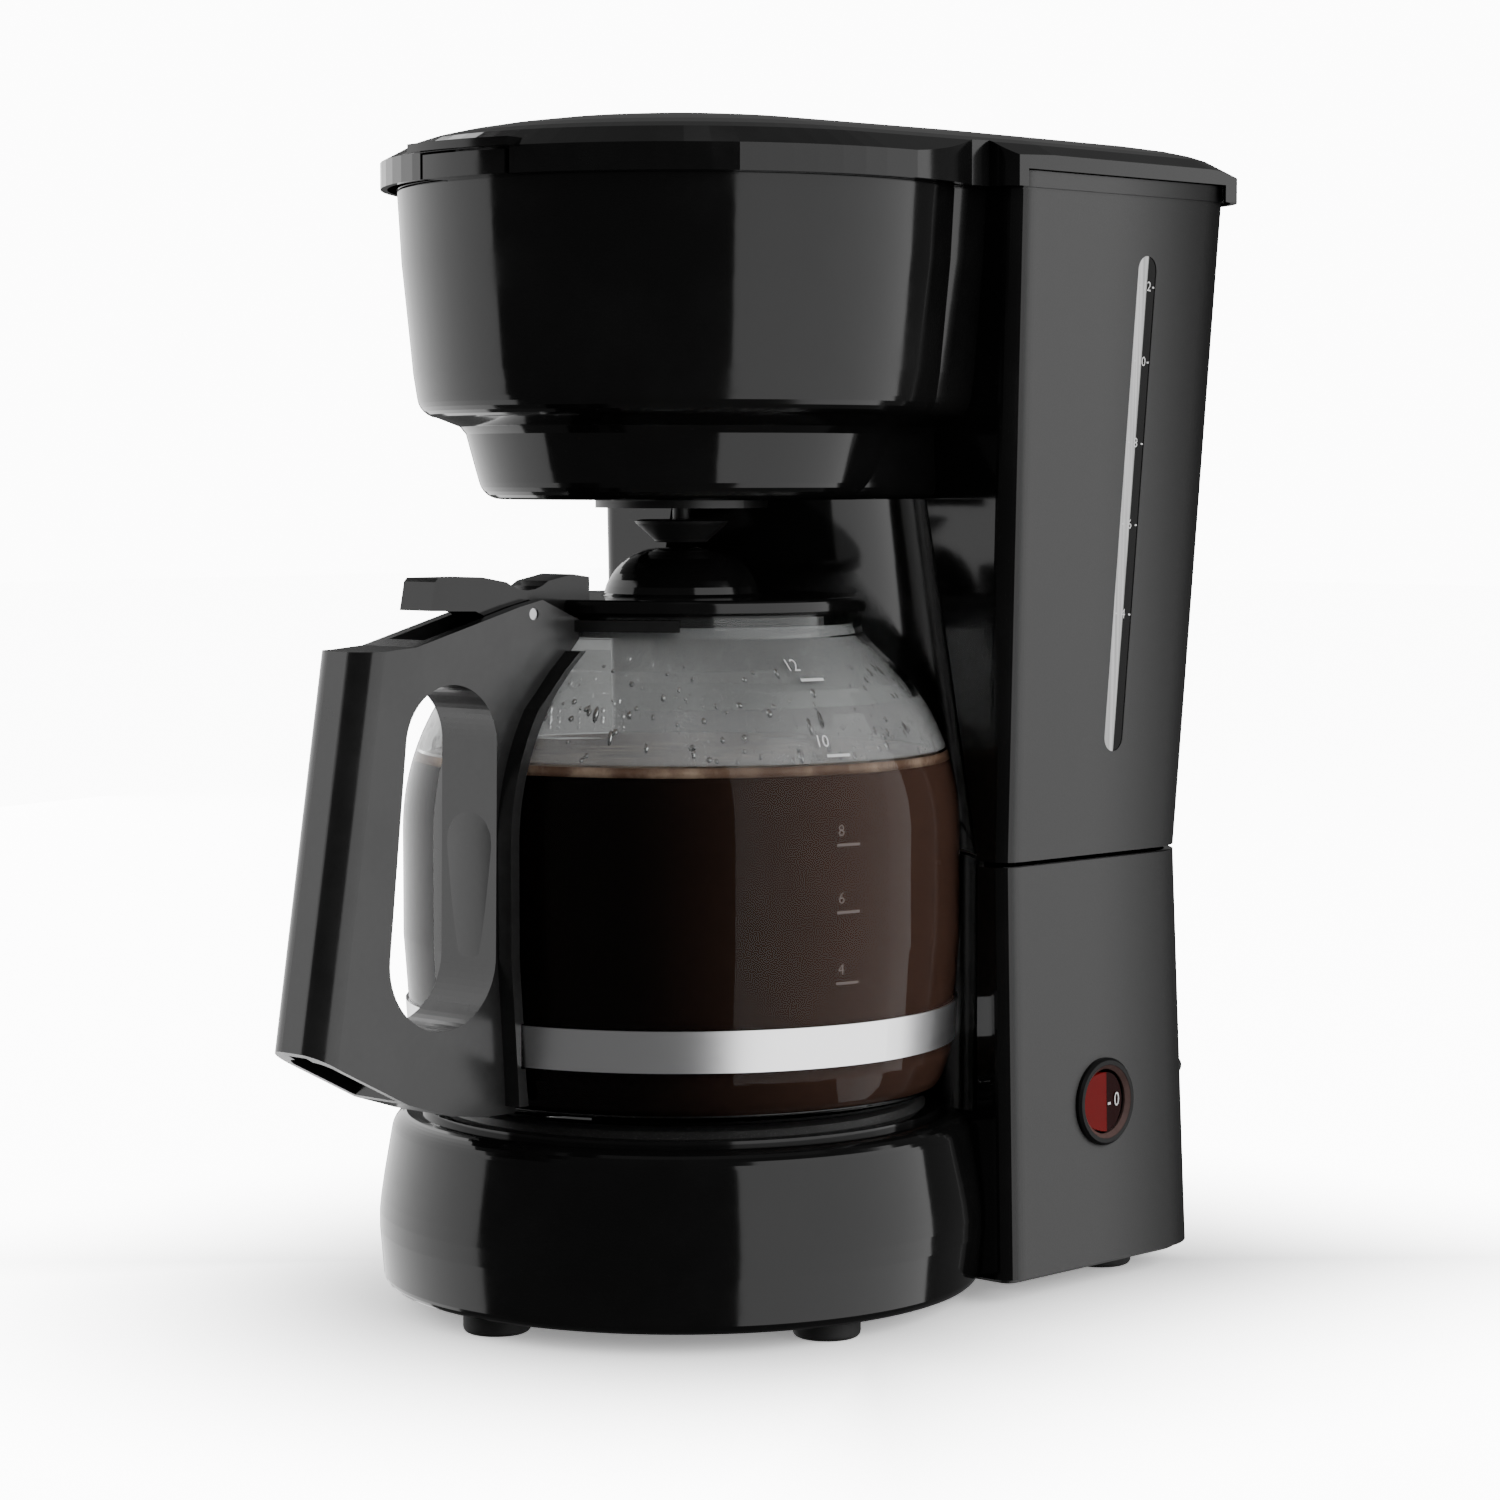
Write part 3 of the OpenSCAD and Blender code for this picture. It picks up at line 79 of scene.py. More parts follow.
class Wire:
    """A shader value. Arithmetic on it adds Math nodes to its finish."""

    def __init__(self, finish, socket):
        self.finish = finish
        self.socket = socket

    def calc(self, operation, *values):
        """One Math node on this value and others."""
        sockets = dict(enumerate((self, *values)))
        return self.finish.node("ShaderNodeMath", {"operation": operation}, sockets)

    def __add__(self, other):
        return self.calc("ADD", other)

    def __radd__(self, other):
        return self.calc("ADD", other)

    def __sub__(self, other):
        return self.calc("SUBTRACT", other)

    def __mul__(self, other):
        return self.calc("MULTIPLY", other)

    def __rmul__(self, other):
        return self.calc("MULTIPLY", other)

    def __abs__(self):
        return self.calc("ABSOLUTE")

    def __pow__(self, other):
        return self.calc("POWER", other)

    def __rsub__(self, other):
        return self.finish.node("ShaderNodeMath", {"operation": "SUBTRACT"}, {0: other, 1: self})

    def step(self, low, high):
        """Rises smoothly from 0 to 1 as this value goes from low to high."""
        return self.finish.node("ShaderNodeMapRange", {"interpolation_type": "SMOOTHSTEP"},
                                {"Value": self, "From Min": low, "From Max": high})


class Finish:
    """A material built from nodes. It starts empty, and x, y and z are the place on the object in metres."""

    def __init__(self, name, tree=None):
        if tree is None:
            self.material = bpy.data.materials.new(name)
            self.material.use_nodes = True
            tree = self.material.node_tree
        self.tree = tree
        self.tree.nodes.clear()
        place = self.node("ShaderNodeTexCoord", out="Object")
        parts = self.node("ShaderNodeSeparateXYZ", sockets={"Vector": place})
        self.place = place
        self.x, self.y, self.z = (Wire(self, parts.socket.node.outputs[i]) for i in range(3))

    def node(self, kind, settings=None, sockets=None, out=0):
        """Adds a node: its settings first, then the values or links of its sockets."""
        made = self.tree.nodes.new(kind)
        for key, value in (settings or {}).items():
            setattr(made, key, value)
        for key, value in (sockets or {}).items():
            if isinstance(value, Wire):
                self.tree.links.new(value.socket, made.inputs[key])
            else:
                made.inputs[key].default_value = value
        return Wire(self, made.outputs[out])

    def noise(self, scale, detail=3, rough=0.5, stretch=(1, 1, 1)):
        """Noise with features of about one over scale metres, squeezed along the axes by stretch."""
        vector = self.node("ShaderNodeMapping", sockets={"Vector": self.place, "Scale": stretch})
        return self.node("ShaderNodeTexNoise", sockets={"Vector": vector, "Scale": scale, "Detail": detail,
                                                        "Roughness": rough})

    def mix(self, factor, a, b):
        """Mixes two colours."""
        return self.node("ShaderNodeMix", {"data_type": "RGBA"}, {"Factor": factor, 6: a, 7: b}, out=2)

    def bump(self, height, distance, strength=1.0):
        """A Bump node on a height, with its depth in metres."""
        sockets = {"Height": height, "Distance": distance, "Strength": strength}
        return self.node("ShaderNodeBump", sockets=sockets)

    def principled(self, **sockets):
        """A Principled shader; underscores in the names of its sockets stand for spaces."""
        named = {key.replace("_", " "): value for key, value in sockets.items()}
        return self.node("ShaderNodeBsdfPrincipled", sockets=named, out="BSDF")

    def surface(self, **sockets):
        """Ends the material in one Principled shader."""
        self.node_out(self.principled(**sockets))
        return self

    def node_out(self, shader, kind="ShaderNodeOutputMaterial"):
        """Joins a shader to the output."""
        made = self.tree.nodes.new(kind)
        self.tree.links.new(shader.socket, made.inputs["Surface"])


def grey(value, alpha=1.0):
    """A neutral colour."""
    return (value, value, value, alpha)


def dress(finish, *names):
    """Gives a finish to CAD nodes."""
    for name in names:
        mesh = nodes[name].data
        if not mesh.materials:
            mesh.materials.append(finish.material)
        for slot in range(len(mesh.materials)):
            mesh.materials[slot] = finish.material


# ---------------------------------------------------------------- finishes


def gloss_plastic(name, shade=0.005, polish=0.09, gloss=0.3):
    """Polished black moulding: slight ripple in the surface, faint smears in the gloss."""
    f = Finish(name)
    smear = f.noise(38, 4, 0.6)
    fine = f.noise(1400, 2)
    ripple = f.noise(90, 2)
    return f.surface(
        Base_Color=f.mix(smear.step(0.35, 0.7), grey(shade), grey(shade * 1.7)),
        Roughness=polish + smear.step(0.45, 0.8) * 0.07 + fine * 0.02,
        Specular_IOR_Level=gloss,
        Normal=f.bump(ripple + fine * 0.02, 0.00025, 0.12))


def housing_plastic(name):
    """Housing: polished at the front and round the bowl, spark-textured satin on the column's side panels,
    darkened towards the rear by painted shade.
    """
    f = Finish(name)
    panel_front = brew_y + 0.050
    side = abs(f.x).step(0.0735, 0.0755) * f.y.step(panel_front - 0.001, panel_front + 0.001)
    smear = f.noise(34, 4, 0.6)
    grain = f.noise(2600, 2, 0.7)
    ripple = f.noise(80, 2)
    # Painted shade: the side panels' colour darkens from front to rear, as if the panels turn away from the
    # light.
    painted_rear_shade = f.y.step(panel_front + 0.030, panel_front + 0.090)
    polished = f.principled(
        Base_Color=f.mix(smear.step(0.35, 0.7), grey(0.005), grey(0.008)),
        Roughness=0.08 + smear.step(0.45, 0.8) * 0.07, Specular_IOR_Level=0.3,
        Normal=f.bump(ripple, 0.00025, 0.12))
    panel = f.principled(
        Base_Color=f.mix(painted_rear_shade, f.mix(grain, grey(0.095), grey(0.115)),
                         f.mix(grain, grey(0.003), grey(0.005))),
        Roughness=0.42 + grain * 0.1, Specular_IOR_Level=0.1,
        Normal=f.bump(grain, 0.00008, 0.5))
    f.node_out(f.node("ShaderNodeMixShader", sockets={0: side, 1: polished, 2: panel}))
    return f


def satin_plastic(name, shade, rough=0.42):
    """Spark-textured moulding: even fine grain, with a little wear polish."""
    f = Finish(name)
    grain = f.noise(2600, 2, 0.7)
    wear = f.noise(45, 3)
    return f.surface(
        Base_Color=f.mix(grain, grey(shade * 0.85), grey(shade * 1.15)),
        Roughness=rough + grain * 0.1 - wear.step(0.55, 0.8) * 0.06,
        Normal=f.bump(grain, 0.00006, 0.5))


def metal(name, colour=(0.62, 0.62, 0.63, 1), rough=0.28, stretch=(60, 60, 2200)):
    """Drawn or rolled metal: fine lines that run round the axis, and faint tarnish."""
    f = Finish(name)
    lines = f.noise(1, 3, 0.6, stretch)
    tarnish = f.noise(60, 3)
    return f.surface(
        Base_Color=f.mix(tarnish * 0.3, colour, tuple(c * 0.8 for c in colour[:3]) + (1,)),
        Metallic=1.0,
        Roughness=rough + lines * 0.08,
        Normal=f.bump(lines, 0.00002, 0.4))


def rubber(name, colour, rough=0.7):
    """Matt rubber with a chalky bloom."""
    f = Finish(name)
    bloom = f.noise(120, 4, 0.6)
    lighter = tuple(min(1, c * 1.5 + 0.004) for c in colour[:3]) + (1,)
    return f.surface(
        Base_Color=f.mix(bloom, colour, lighter),
        Roughness=rough + bloom * 0.12,
        Normal=f.bump(f.noise(1800, 2), 0.00004, 0.4))


def clear(name, tint, rough=0.0, ior=1.5):
    """Clear glass or plastic with a faint waviness."""
    f = Finish(name)
    return f.surface(Base_Color=tint, Roughness=rough, Transmission_Weight=1.0, IOR=ior,
                     Normal=f.bump(f.noise(45, 2), 0.00012, 0.15))


def plate_coating(name):
    """Non-stick coating: satin black with a speckle."""
    f = Finish(name)
    speck = f.noise(3000, 1)
    return f.surface(Base_Color=f.mix(speck.step(0.62, 0.7), grey(0.02), grey(0.07)),
                     Roughness=0.38 + speck * 0.12, Normal=f.bump(speck, 0.00004, 0.4))


def rocker_plastic(name, split_y):
    """Red lamp rocker: lit in front of split_y and dim behind it."""
    f = Finish(name)
    lit = 1 - f.y.step(split_y - 0.0004, split_y + 0.0004)
    glow = f.noise(240, 2)
    return f.surface(
        Base_Color=f.mix(lit, (0.02, 0.002, 0.002, 1), (0.12, 0.002, 0.002, 1)),
        Emission_Color=f.mix(lit * (0.6 + glow * 0.6), grey(0), (1.0, 0.012, 0.012, 1)),
        Emission_Strength=0.07, Roughness=0.2 + glow * 0.05, Specular_IOR_Level=0.12)


def window_finish(name):
    """Level window: painted light on its front half, where it catches the light; painted shade on its rear
    half, for the dark tank behind.
    """
    f = Finish(name)
    across = f.y - (f.z - window_low_z) * math.tan(window_slant) - window_low_y
    # front marks the half with the painted highlight, streaked by the noise below; behind it the colour is
    # painted shade.
    front = 1 - across.step(-0.0003, 0.0003)
    streak = f.noise(1, 2, 0.5, (200, 900, 12))
    return f.surface(
        Base_Color=f.mix(front, grey(0.003), f.mix(streak.step(0.3, 0.7), grey(0.6), grey(0.9))),
        Roughness=0.2 + streak * 0.1, Specular_IOR_Level=0.08,
        Normal=f.bump(streak, 0.00006, 0.4))


def bezel_finish(name):
    """Switch bezel: black ring, with a milky lamp-tinted lip round the rocker."""
    f = Finish(name)
    up, back = f.z - switch_at[2], f.y - switch_at[1]
    reach = (up * up + back * back) ** 0.5
    lip = (1 - reach.step(0.0100, 0.0104)) * f.x.step(switch_at[0] - 0.0005, switch_at[0])
    tint = f.noise(300, 2)
    return f.surface(
        Base_Color=f.mix(lip, grey(0.008), f.mix(tint, (0.10, 0.06, 0.055, 1), (0.16, 0.10, 0.09, 1))),
        Roughness=0.3 + tint * 0.08, Specular_IOR_Level=0.12, Normal=f.bump(tint, 0.00004, 0.3))


def coffee_finish(name):
    """Coffee: nearly black, with painted light: browner towards the thinner right-hand side, where light
    comes through.
    """
    f = Finish(name)
    swirl = f.noise(22, 4, 0.6)
    # Painted light: the colour turns brown across the coffee towards its right-hand side.
    across = (f.x * 0.71 + f.y * 0.70 + swirl * 0.008)
    return f.surface(
        Base_Color=f.mix(across.step(-0.02, 0.06), (0.003, 0.002, 0.002, 1), (0.055, 0.028, 0.020, 1)),
        Roughness=0.5 + swirl * 0.05, Specular_IOR_Level=0.0)


def froth_finish(name):
    """Top of the coffee: milky brown, with paler froth in drifts."""
    f = Finish(name)
    drift = f.noise(60, 5, 0.65)
    bubble = f.noise(900, 2)
    return f.surface(
        Base_Color=f.mix(drift.step(0.4, 0.75), (0.13, 0.075, 0.05, 1), (0.4, 0.29, 0.21, 1)),
        Roughness=0.5 + bubble * 0.1, Specular_IOR_Level=0.15, Normal=f.bump(bubble, 0.0001, 0.3))


def mist_finish(name):
    """Mist on the inside of the glass: a pale film with clear runs, thinning upwards."""
    f = Finish(name)
    cloud = f.noise(1, 3, 0.5, (26, 26, 14))
    speck = f.noise(1500, 3, 0.6)
    thin = 1 - f.z.step(0.160, 0.190) * 0.4
    return f.surface(
        Base_Color=f.mix(cloud, grey(0.45), grey(0.75)), Roughness=0.55 + speck * 0.1,
        Alpha=(0.24 + cloud.step(0.3, 0.75) * 0.12 + speck.step(0.5, 0.7) * 0.06) * thin,
        Specular_IOR_Level=0.2, Normal=f.bump(speck, 0.00008, 0.4))


def print_ink(name, full_z):
    """White print; below full_z, with dark coffee behind it, it reads as a dim brown."""
    f = Finish(name)
    up = f.z.step(full_z - 0.001, full_z + 0.001)
    worn = f.noise(900, 2)
    return f.surface(Base_Color=f.mix(up, (0.16, 0.12, 0.105, 1), grey(0.95)),
                     Roughness=0.45 + worn * 0.1, Normal=f.bump(worn, 0.00002, 0.3))


housing = housing_plastic("housing_gloss")
black_gloss = gloss_plastic("black_gloss")
black_satin = satin_plastic("black_satin", 0.022)
handle_black = gloss_plastic("handle_black", 0.016, 0.17, 0.4)
basket_satin = satin_plastic("basket_satin", 0.012, 0.35)
feet_rubber = rubber("feet_rubber", (0.012, 0.012, 0.012, 1))
seal_red = rubber("seal_red", (0.35, 0.05, 0.03, 1), 0.55)
hose_grey = rubber("hose_grey", (0.45, 0.45, 0.42, 1), 0.5)
wire_red = rubber("wire_red", (0.35, 0.02, 0.015, 1), 0.4)
bright_steel = metal("bright_steel", (0.96, 0.96, 0.97, 1), 0.26)
screw_steel = metal("screw_steel", (0.5, 0.5, 0.51, 1), 0.3, (900, 900, 900))
cast_metal = metal("cast_metal", (0.55, 0.55, 0.56, 1), 0.5, (700, 700, 700))
pot_glass = clear("pot_glass", (0.97, 0.985, 0.98, 1), ior=1.2)
tank_plastic = clear("tank_plastic", (0.72, 0.76, 0.8, 1), 0.18, 1.49)
ceramic = rubber("ceramic", (0.7, 0.68, 0.62, 1), 0.5)

dress(housing, "base_housing", "upper_housing")
dress(black_gloss, "machine_lid", "carafe_lid")
dress(black_satin, "bottom_cover", "shower_plate", "switch_body", "drip_valve", "thermostat")
dress(basket_satin, "filter_basket", "basket_bail")
dress(handle_black, "carafe_handle")
dress(feet_rubber, "feet", "cord_gland", "plate_gasket")
dress(seal_red, "tank_seal", "valve_seal")
dress(hose_grey, "cold_water_hose", "hot_water_hose", "check_valve_body")
dress(wire_red, "power_wires")
dress(bright_steel, "carafe_band")
dress(screw_steel, "cover_screws", "bracket_screws", "housing_screws", "shower_screws", "band_screw",
      "band_nut", "hose_clamps", "heater_bracket", "riser_pipe", "lid_hinge_pins", "valve_spring",
      "carafe_lid_pin", "check_valve_ball")
dress(cast_metal, "heater_casting")
dress(ceramic, "thermal_fuse", "heater_terminals")
dress(pot_glass, "carafe_glass")
dress(tank_plastic, "reservoir_tank")
dress(window_finish("window_tube"), "level_window")
dress(bezel_finish("bezel"), "switch_bezel")
dress(plate_coating("plate_coating"), "warming_plate")
dress(rocker_plastic("rocker_red", middle("switch_rocker", 1)), "switch_rocker")

# ---------------------------------------------------------------- mesh helpers


def make_piece(name, points, faces, finish, body, smooth=True):
    """Makes a mesh object from arrays and puts it on a body."""
    mesh = bpy.data.meshes.new(name)
    mesh.from_pydata(np.asarray(points, float).reshape(-1, 3).tolist(), [], faces)
    mesh.materials.append(finish.material)
    if smooth:
        mesh.shade_smooth()
    piece = bpy.data.objects.new(name, mesh)
    bpy.context.scene.collection.objects.link(piece)
    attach(piece, body)
    return piece


around = 128                            # points in each ring of a turned piece


def turned(profile):
    """Points and faces of a closed solid turned about the brew axis.

    The profile runs from the axis out and back to the axis: point (r, z) at angle t is
    (r cos t, brew_y + r sin t, z). The first and last profile points are single poles.
    """
    profile = np.asarray(profile, float)
    angle = np.linspace(0, 2 * math.pi, around, endpoint=False)
    ring = profile[1:-1]
    x = ring[:, None, 0] * np.cos(angle)
    y = brew_y + ring[:, None, 0] * np.sin(angle)
    z = np.broadcast_to(ring[:, None, 1], x.shape)
    points = np.stack([x, y, z], -1).reshape(-1, 3)
    poles = np.array([[0, brew_y, profile[0, 1]], [0, brew_y, profile[-1, 1]]])
    row, col = np.meshgrid(np.arange(len(ring) - 1), np.arange(around), indexing="ij")
    after = (col + 1) % around
    quads = np.stack([row * around + col, row * around + after, (row + 1) * around + after,
                      (row + 1) * around + col], -1).reshape(-1, 4)
    base = len(points)
    first = [(base, int((i + 1) % around), i) for i in range(around)]
    end = (len(ring) - 1) * around
    last = [(base + 1, end + i, end + (i + 1) % around) for i in range(around)]
    return np.vstack([points, poles]), quads.tolist() + first + last


# ---------------------------------------------------------------- carafe's fill


def outer_stations(node):
    """Heights and radii of a turned CAD node's outside: its points whose normals lead away from the axis."""
    mesh = nodes[node].data
    points = np.empty(len(mesh.vertices) * 3)
    normals = np.empty(len(mesh.vertices) * 3)
    mesh.vertices.foreach_get("co", points)
    mesh.vertices.foreach_get("normal", normals)
    points = points.reshape(-1, 3) - [0, brew_y, 0]
    outside = (points[:, :2] * normals.reshape(-1, 3)[:, :2]).sum(1) > 0
    points = points[outside]
    height = np.round(points[:, 2], 5)
    radius = np.hypot(points[:, 0], points[:, 1])
    levels, where = np.unique(height, return_inverse=True)
    widest = np.zeros(len(levels))
    np.maximum.at(widest, where, radius)
    return levels, widest


levels, widest = outer_stations("carafe_glass")
glass_wall = 2.3 * MM
keep = widest > 0.045
levels, widest = levels[keep], widest[keep]


def glass_outer(z):
    """Outer radius of the carafe at a height."""
    return np.interp(z, levels, widest)


coffee_low = 60.2 * MM
coffee_top = 148.2 * MM
wetting = 0.3 * MM                      # the coffee reaches into the glass, so that no air shows between
side_z = np.linspace(coffee_low + 3 * MM, coffee_top, 60)
side_r = glass_outer(side_z) - glass_wall + wetting
bottom_r = side_r[0] - 3.4 * MM
coffee_profile = ([(0, coffee_low), (bottom_r, coffee_low), (bottom_r + 2 * MM, coffee_low + 0.8 * MM)]
                  + list(zip(side_r, side_z)) + [(0, coffee_top)])
points, faces = turned(coffee_profile)
make_piece("coffee", points, faces, coffee_finish("coffee"), "carafe")

froth_low = coffee_top + 0.02 * MM
froth_r = side_r[-1] - 0.05 * MM
froth_h = 0.3 * MM
froth_rim_h = 2.6 * MM
froth_profile = [(0, froth_low), (froth_r, froth_low), (froth_r, froth_low + froth_rim_h),
                 (froth_r - 0.7 * MM, froth_low + froth_rim_h - 0.2 * MM),
                 (froth_r - 2 * MM, froth_low + froth_h), (0, froth_low + froth_h)]
points, faces = turned(froth_profile)
make_piece("coffee_froth", points, faces, froth_finish("froth"), "carafe")

mist_top = 186 * MM
mist_film = 0.02 * MM
mist_z = np.linspace(coffee_top + 3 * MM, mist_top, 40)
mist_out = glass_outer(mist_z) - glass_wall - 0.1 * MM
mist_ring = np.stack([np.concatenate([mist_out, mist_out[::-1] - mist_film]),
                      np.concatenate([mist_z, mist_z[::-1]])], -1)
# The film is a closed band: the poles and their caps go, and its last ring joins its first.
points, faces = turned(np.vstack([[0, 0], mist_ring, [0, 0]]))
last = (len(mist_ring) - 1) * around
closing = [[last + i, last + (i + 1) % around, (i + 1) % around, i] for i in range(around)]
make_piece("mist", points[:-2], faces[:last] + closing, mist_finish("mist"), "carafe")


def beads(name, count, low, high, size, finish, seed, body):
    """Drops on the carafe's inner wall, between two heights.

    Each drop is a dome of rings: a point at ring angle t and rise u lies, in the wall's own frame, at
    (size cos t cos u, size sin t cos u) along the wall and 0.5 size sin u in from it.
    """
    random = np.random.default_rng(seed)
    turn = random.uniform(-math.pi, math.pi, count)
    height = low + (high - low) * random.power(0.75, count)
    scale = size * random.uniform(0.35, 1.0, count) ** 1.6
    drag = 1 + random.uniform(0, 1.0, count) ** 4 * 2.2
    t = np.linspace(0, 2 * math.pi, 8, endpoint=False)
    u = np.radians([0, 38, 68])
    across = np.append((np.cos(u)[:, None] * np.cos(t)).ravel(), 0)
    along = np.append((np.cos(u)[:, None] * np.sin(t)).ravel(), 0)
    rise = np.append(np.repeat(np.sin(u) * 0.45, 8), 0.45)
    z = height[:, None] + scale[:, None] * drag[:, None] * along
    radius = glass_outer(z) - glass_wall - 0.02 * MM - scale[:, None] * rise
    angle = turn[:, None] + scale[:, None] * across / radius
    points = np.stack([radius * np.cos(angle), brew_y + radius * np.sin(angle), z], -1)
    ring, step = np.meshgrid(np.arange(2), np.arange(8), indexing="ij")
    after = (step + 1) % 8
    sides = np.stack([ring * 8 + step, (ring + 1) * 8 + step, (ring + 1) * 8 + after, ring * 8 + after], -1)
    base = 25 * np.arange(count)
    quads = (base[:, None, None] + sides.reshape(1, -1, 4)).reshape(-1, 4)
    tip = np.stack([16 + np.arange(8), np.full(8, 24), 16 + (np.arange(8) + 1) % 8], -1)
    tips = (base[:, None, None] + tip[None]).reshape(-1, 3)
    foot = (base[:, None] + np.arange(8)[None]).tolist()
    return make_piece(name, points, quads.tolist() + tips.tolist() + foot, finish, body)


water = clear("condensed_water", (0.98, 0.98, 0.98, 1), 0.0, 1.33)
beads("condensation", 520, 152 * MM, 176 * MM, 0.85 * MM, water, 7, "carafe")


# ---------------------------------------------------------------- printed marks


def lettering(text, height):
    """Flat mesh of a short text, digits height metres tall, centred on its own middle: (points, faces)."""
    curve = bpy.data.curves.new("text", "FONT")
    curve.body = text
    curve.align_x = "CENTER"
    curve.align_y = "CENTER"
    curve.size = height / 0.72
    curve.resolution_u = 4
    holder = bpy.data.objects.new("text", curve)
    bpy.context.scene.collection.objects.link(holder)
    mesh = bpy.data.meshes.new_from_object(holder.evaluated_get(bpy.context.evaluated_depsgraph_get()))
    points = np.empty(len(mesh.vertices) * 3)
    mesh.vertices.foreach_get("co", points)
    faces = [list(p.vertices) for p in mesh.polygons]
    bpy.data.objects.remove(holder)
    bpy.data.meshes.remove(mesh)
    return points.reshape(-1, 3)[:, :2], faces


def bar(width, height, columns=8):
    """Flat strip centred on its own middle, split into columns so that it can bend: (points, faces)."""
    x = np.linspace(-width / 2, width / 2, columns + 1)
    points = np.concatenate([np.stack([x, np.full_like(x, -height / 2)], -1),
                             np.stack([x, np.full_like(x, height / 2)], -1)])
    faces = [[i, i + 1, i + 2 + columns, i + 1 + columns] for i in range(columns)]
    return points, faces


def gather(parts):
    """Joins flat shapes moved by (across, up): the points and faces of all of them."""
    points, faces, count = [], [], 0
    for (flat, shape), (across, up) in parts:
        points.append(flat + [across, up])
        faces += [[i + count for i in face] for face in shape]
        count += len(flat)
    return np.concatenate(points), faces


ink = print_ink("cup_ink", 150 * MM)
cup_marks = {"12": 172.6, "10": 153.4, "8": 130.4, "6": 112.8, "4": 94.2}      # heights in millimetres
marks_turn = math.radians(-11)          # the marks' place round the carafe
digits_up = 3.6
shapes = []
for label, z in cup_marks.items():
    digits_left = -2.2 * MM if len(label) == 1 else -4.2 * MM
    shapes.append((bar(7.4 * MM, 0.75 * MM), (0, z * MM)))
    shapes.append((lettering(label, 3.1 * MM), (digits_left, (z + digits_up) * MM)))
flat, faces = gather(shapes)
z = flat[:, 1]
reach = glass_outer(z) + 0.03 * MM
angle = marks_turn + flat[:, 0] / reach
points = np.stack([reach * np.cos(angle), brew_y + reach * np.sin(angle), z], -1)
make_piece("cup_marks", points, faces, ink, "carafe", smooth=False)

level_marks = {"12": 278.6, "10": 257.8, "8": 235.2, "6": 212.6, "4": 187.7}   # heights in millimetres
marks_from = 149.5                      # the height that they are measured from along the window
shapes = []
for label, z in level_marks.items():
    up = (z - marks_from) * MM
    shapes.append((lettering(label, 2.7 * MM), (0.1 * MM, up)))
    for across in (-2.9, 2.9):
        shapes.append((bar(0.9 * MM, 0.45 * MM, 1), (across * MM, up)))
flat, faces = gather(shapes)
back = flat[:, 0] * math.cos(window_slant) + flat[:, 1] * math.sin(window_slant)
up = -flat[:, 0] * math.sin(window_slant) + flat[:, 1] * math.cos(window_slant)
panel_x = 78.21 * MM                    # the side panel at the window's lower end
sunk = 0.16 * MM                        # the print lies this far inside the panel's surface
points = np.stack([panel_x - sunk + up * math.sin(window_lean), window_low_y + back,
                   window_low_z + up * math.cos(window_lean)], -1)
make_piece("level_marks", points, faces, print_ink("level_ink", 0), "machine", smooth=False)

rocker_turn = math.radians(7)
ridge, edge, half = 5.6 * MM, 3.4 * MM, 8.6 * MM       # rocker face: rise at its ridge and edge, half width
pin_depth = 4 * MM                      # the rocker's pin lies this far inside the panel
dash = bar(1.5 * MM, 0.7 * MM, 1)
zero = lettering("0", 4.0 * MM)
flat, faces = gather([(dash, (1.3 * MM, -0.6 * MM)), (zero, (5.2 * MM, 0))])
across = flat[:, 0]
depth = ridge - np.abs(across) * (ridge - edge) / half + 0.05 * MM
back = across * math.cos(rocker_turn) - depth * math.sin(rocker_turn)
out = across * math.sin(rocker_turn) + depth * math.cos(rocker_turn) - pin_depth
points = np.stack([switch_at[0] + out, switch_at[1] + back, switch_at[2] + flat[:, 1]], -1)
make_piece("rocker_marks", points, faces, print_ink("rocker_ink", 0), "rocker", smooth=False)

# ---------------------------------------------------------------- room


def soft_box(name, place, look_at, width, height, radiance):
    """A rectangular lamp of even radiance that faces look_at."""
    lamp = bpy.data.lights.new(name, "AREA")
    lamp.shape = "RECTANGLE"
    lamp.size = width
    lamp.size_y = height
    lamp.energy = radiance * width * height * 4
    made = bpy.data.objects.new(name, lamp)
    made.location = place
    direction = np.array(look_at) - np.array(place)
    turn = math.atan2(direction[1], direction[0])
    tilt = math.atan2(math.hypot(direction[0], direction[1]), -direction[2])
    made.rotation_euler = (tilt, 0, turn - math.pi / 2)
    bpy.context.scene.collection.objects.link(made)
    return made


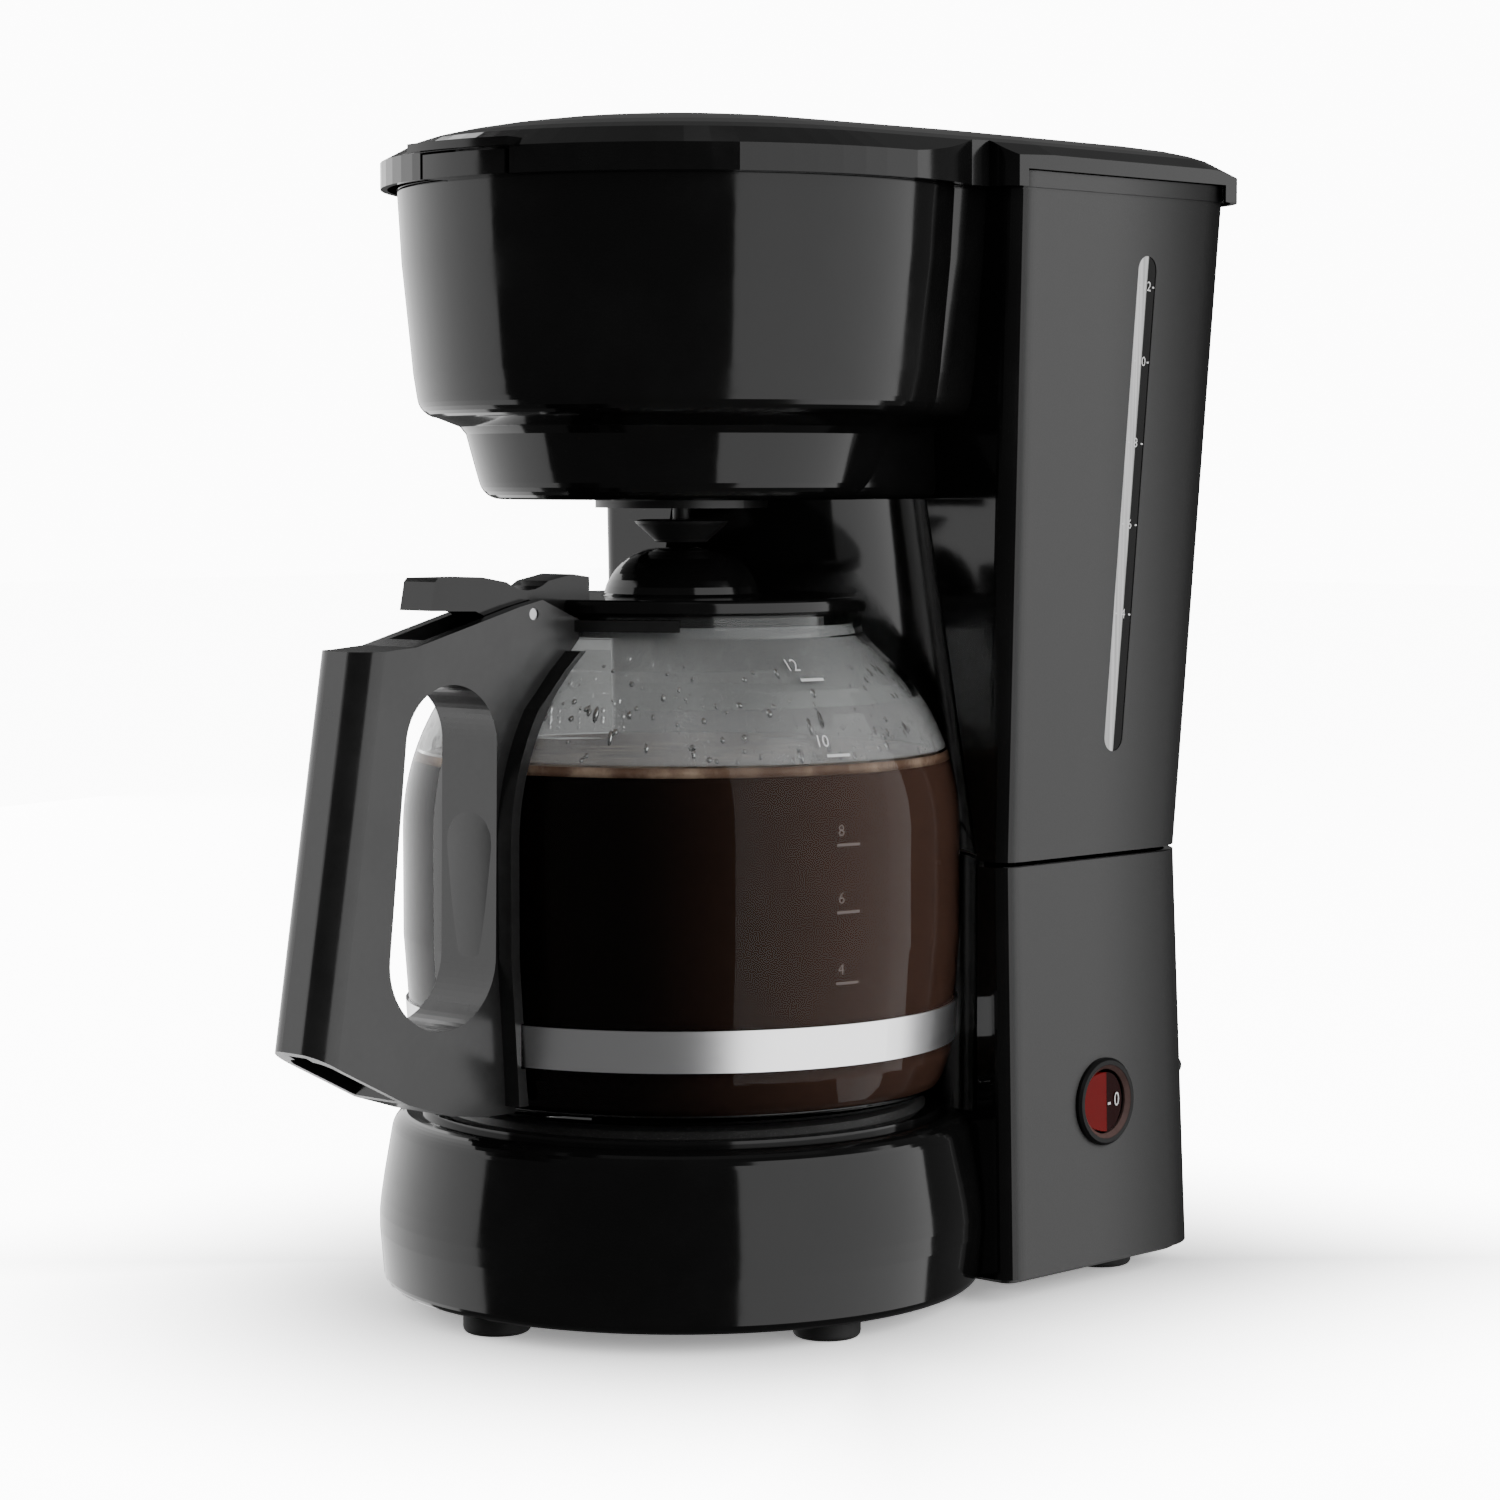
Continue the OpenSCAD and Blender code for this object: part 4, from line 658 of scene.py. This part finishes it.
middle_of_object = (0, 0, 0.2)
through_glass = 0.03
soft_box("left_box", (-1.25, -0.25, 0.2), middle_of_object, 2.4, 2.2, 1.6)
soft_box("right_box", (1.2, 0.38, 0.2), middle_of_object, 2.3, 2.2, 1.8)
soft_box("top_box", (0.0, 0.1, 1.7), middle_of_object, 1.4, 1.4, 0.1)


def seen_directly(finish):
    """1 for what is seen straight, through_glass past glass, and 0 for reflections and bounced light."""
    sight = finish.node("ShaderNodeLightPath")
    through = Wire(finish, sight.socket.node.outputs["Is Transmission Ray"])
    return sight.calc("MAXIMUM", through * through_glass)


world = bpy.data.worlds.new("room")
bpy.context.scene.world = world
world.use_nodes = True
air = Finish("air", world.node_tree)
air_strength = seen_directly(air) * 12 + 0.12
glow = air.node("ShaderNodeBackground", sockets={"Color": grey(1), "Strength": air_strength})
air.node_out(glow, "ShaderNodeOutputWorld")

floor_side = 6.0
floor_mesh = bpy.data.meshes.new("floor")
floor_corners = [(-floor_side, -floor_side, 0), (floor_side, -floor_side, 0),
                 (floor_side, floor_side, 0), (-floor_side, floor_side, 0)]
floor_mesh.from_pydata(floor_corners, [], [(0, 1, 2, 3)])
floor = bpy.data.objects.new("floor", floor_mesh)
paper = Finish("floor_white")
# Painted shadow: the floor's glow is dimmer close to the drum's circle and to the column's rectangle.
from_axis_y = paper.y - brew_y
drum_shadow_gap = (paper.x * paper.x + from_axis_y * from_axis_y) ** 0.5 - 0.078
column_shadow_gap = (abs(paper.x) - 0.075).calc("MAXIMUM", abs(paper.y - 0.055) - 0.072)
away = drum_shadow_gap.calc("MINIMUM", column_shadow_gap)
# The painted shadow: the floor's emission fades in with distance from the base.
lit = paper.node("ShaderNodeEmission", sockets={"Strength": away.step(-0.02, 0.17) * 11 + 0.25})
bounced = paper.node("ShaderNodeBsdfDiffuse", sockets={"Color": grey(2.0)})
bright = paper.node("ShaderNodeAddShader", sockets={0: lit, 1: bounced})
dim = paper.node("ShaderNodeBsdfDiffuse", sockets={"Color": grey(0.25)})
paper.node_out(paper.node("ShaderNodeMixShader", sockets={0: seen_directly(paper), 1: dim, 2: bright}))
floor_mesh.materials.append(paper.material)
floor.visible_glossy = False
bpy.context.scene.collection.objects.link(floor)
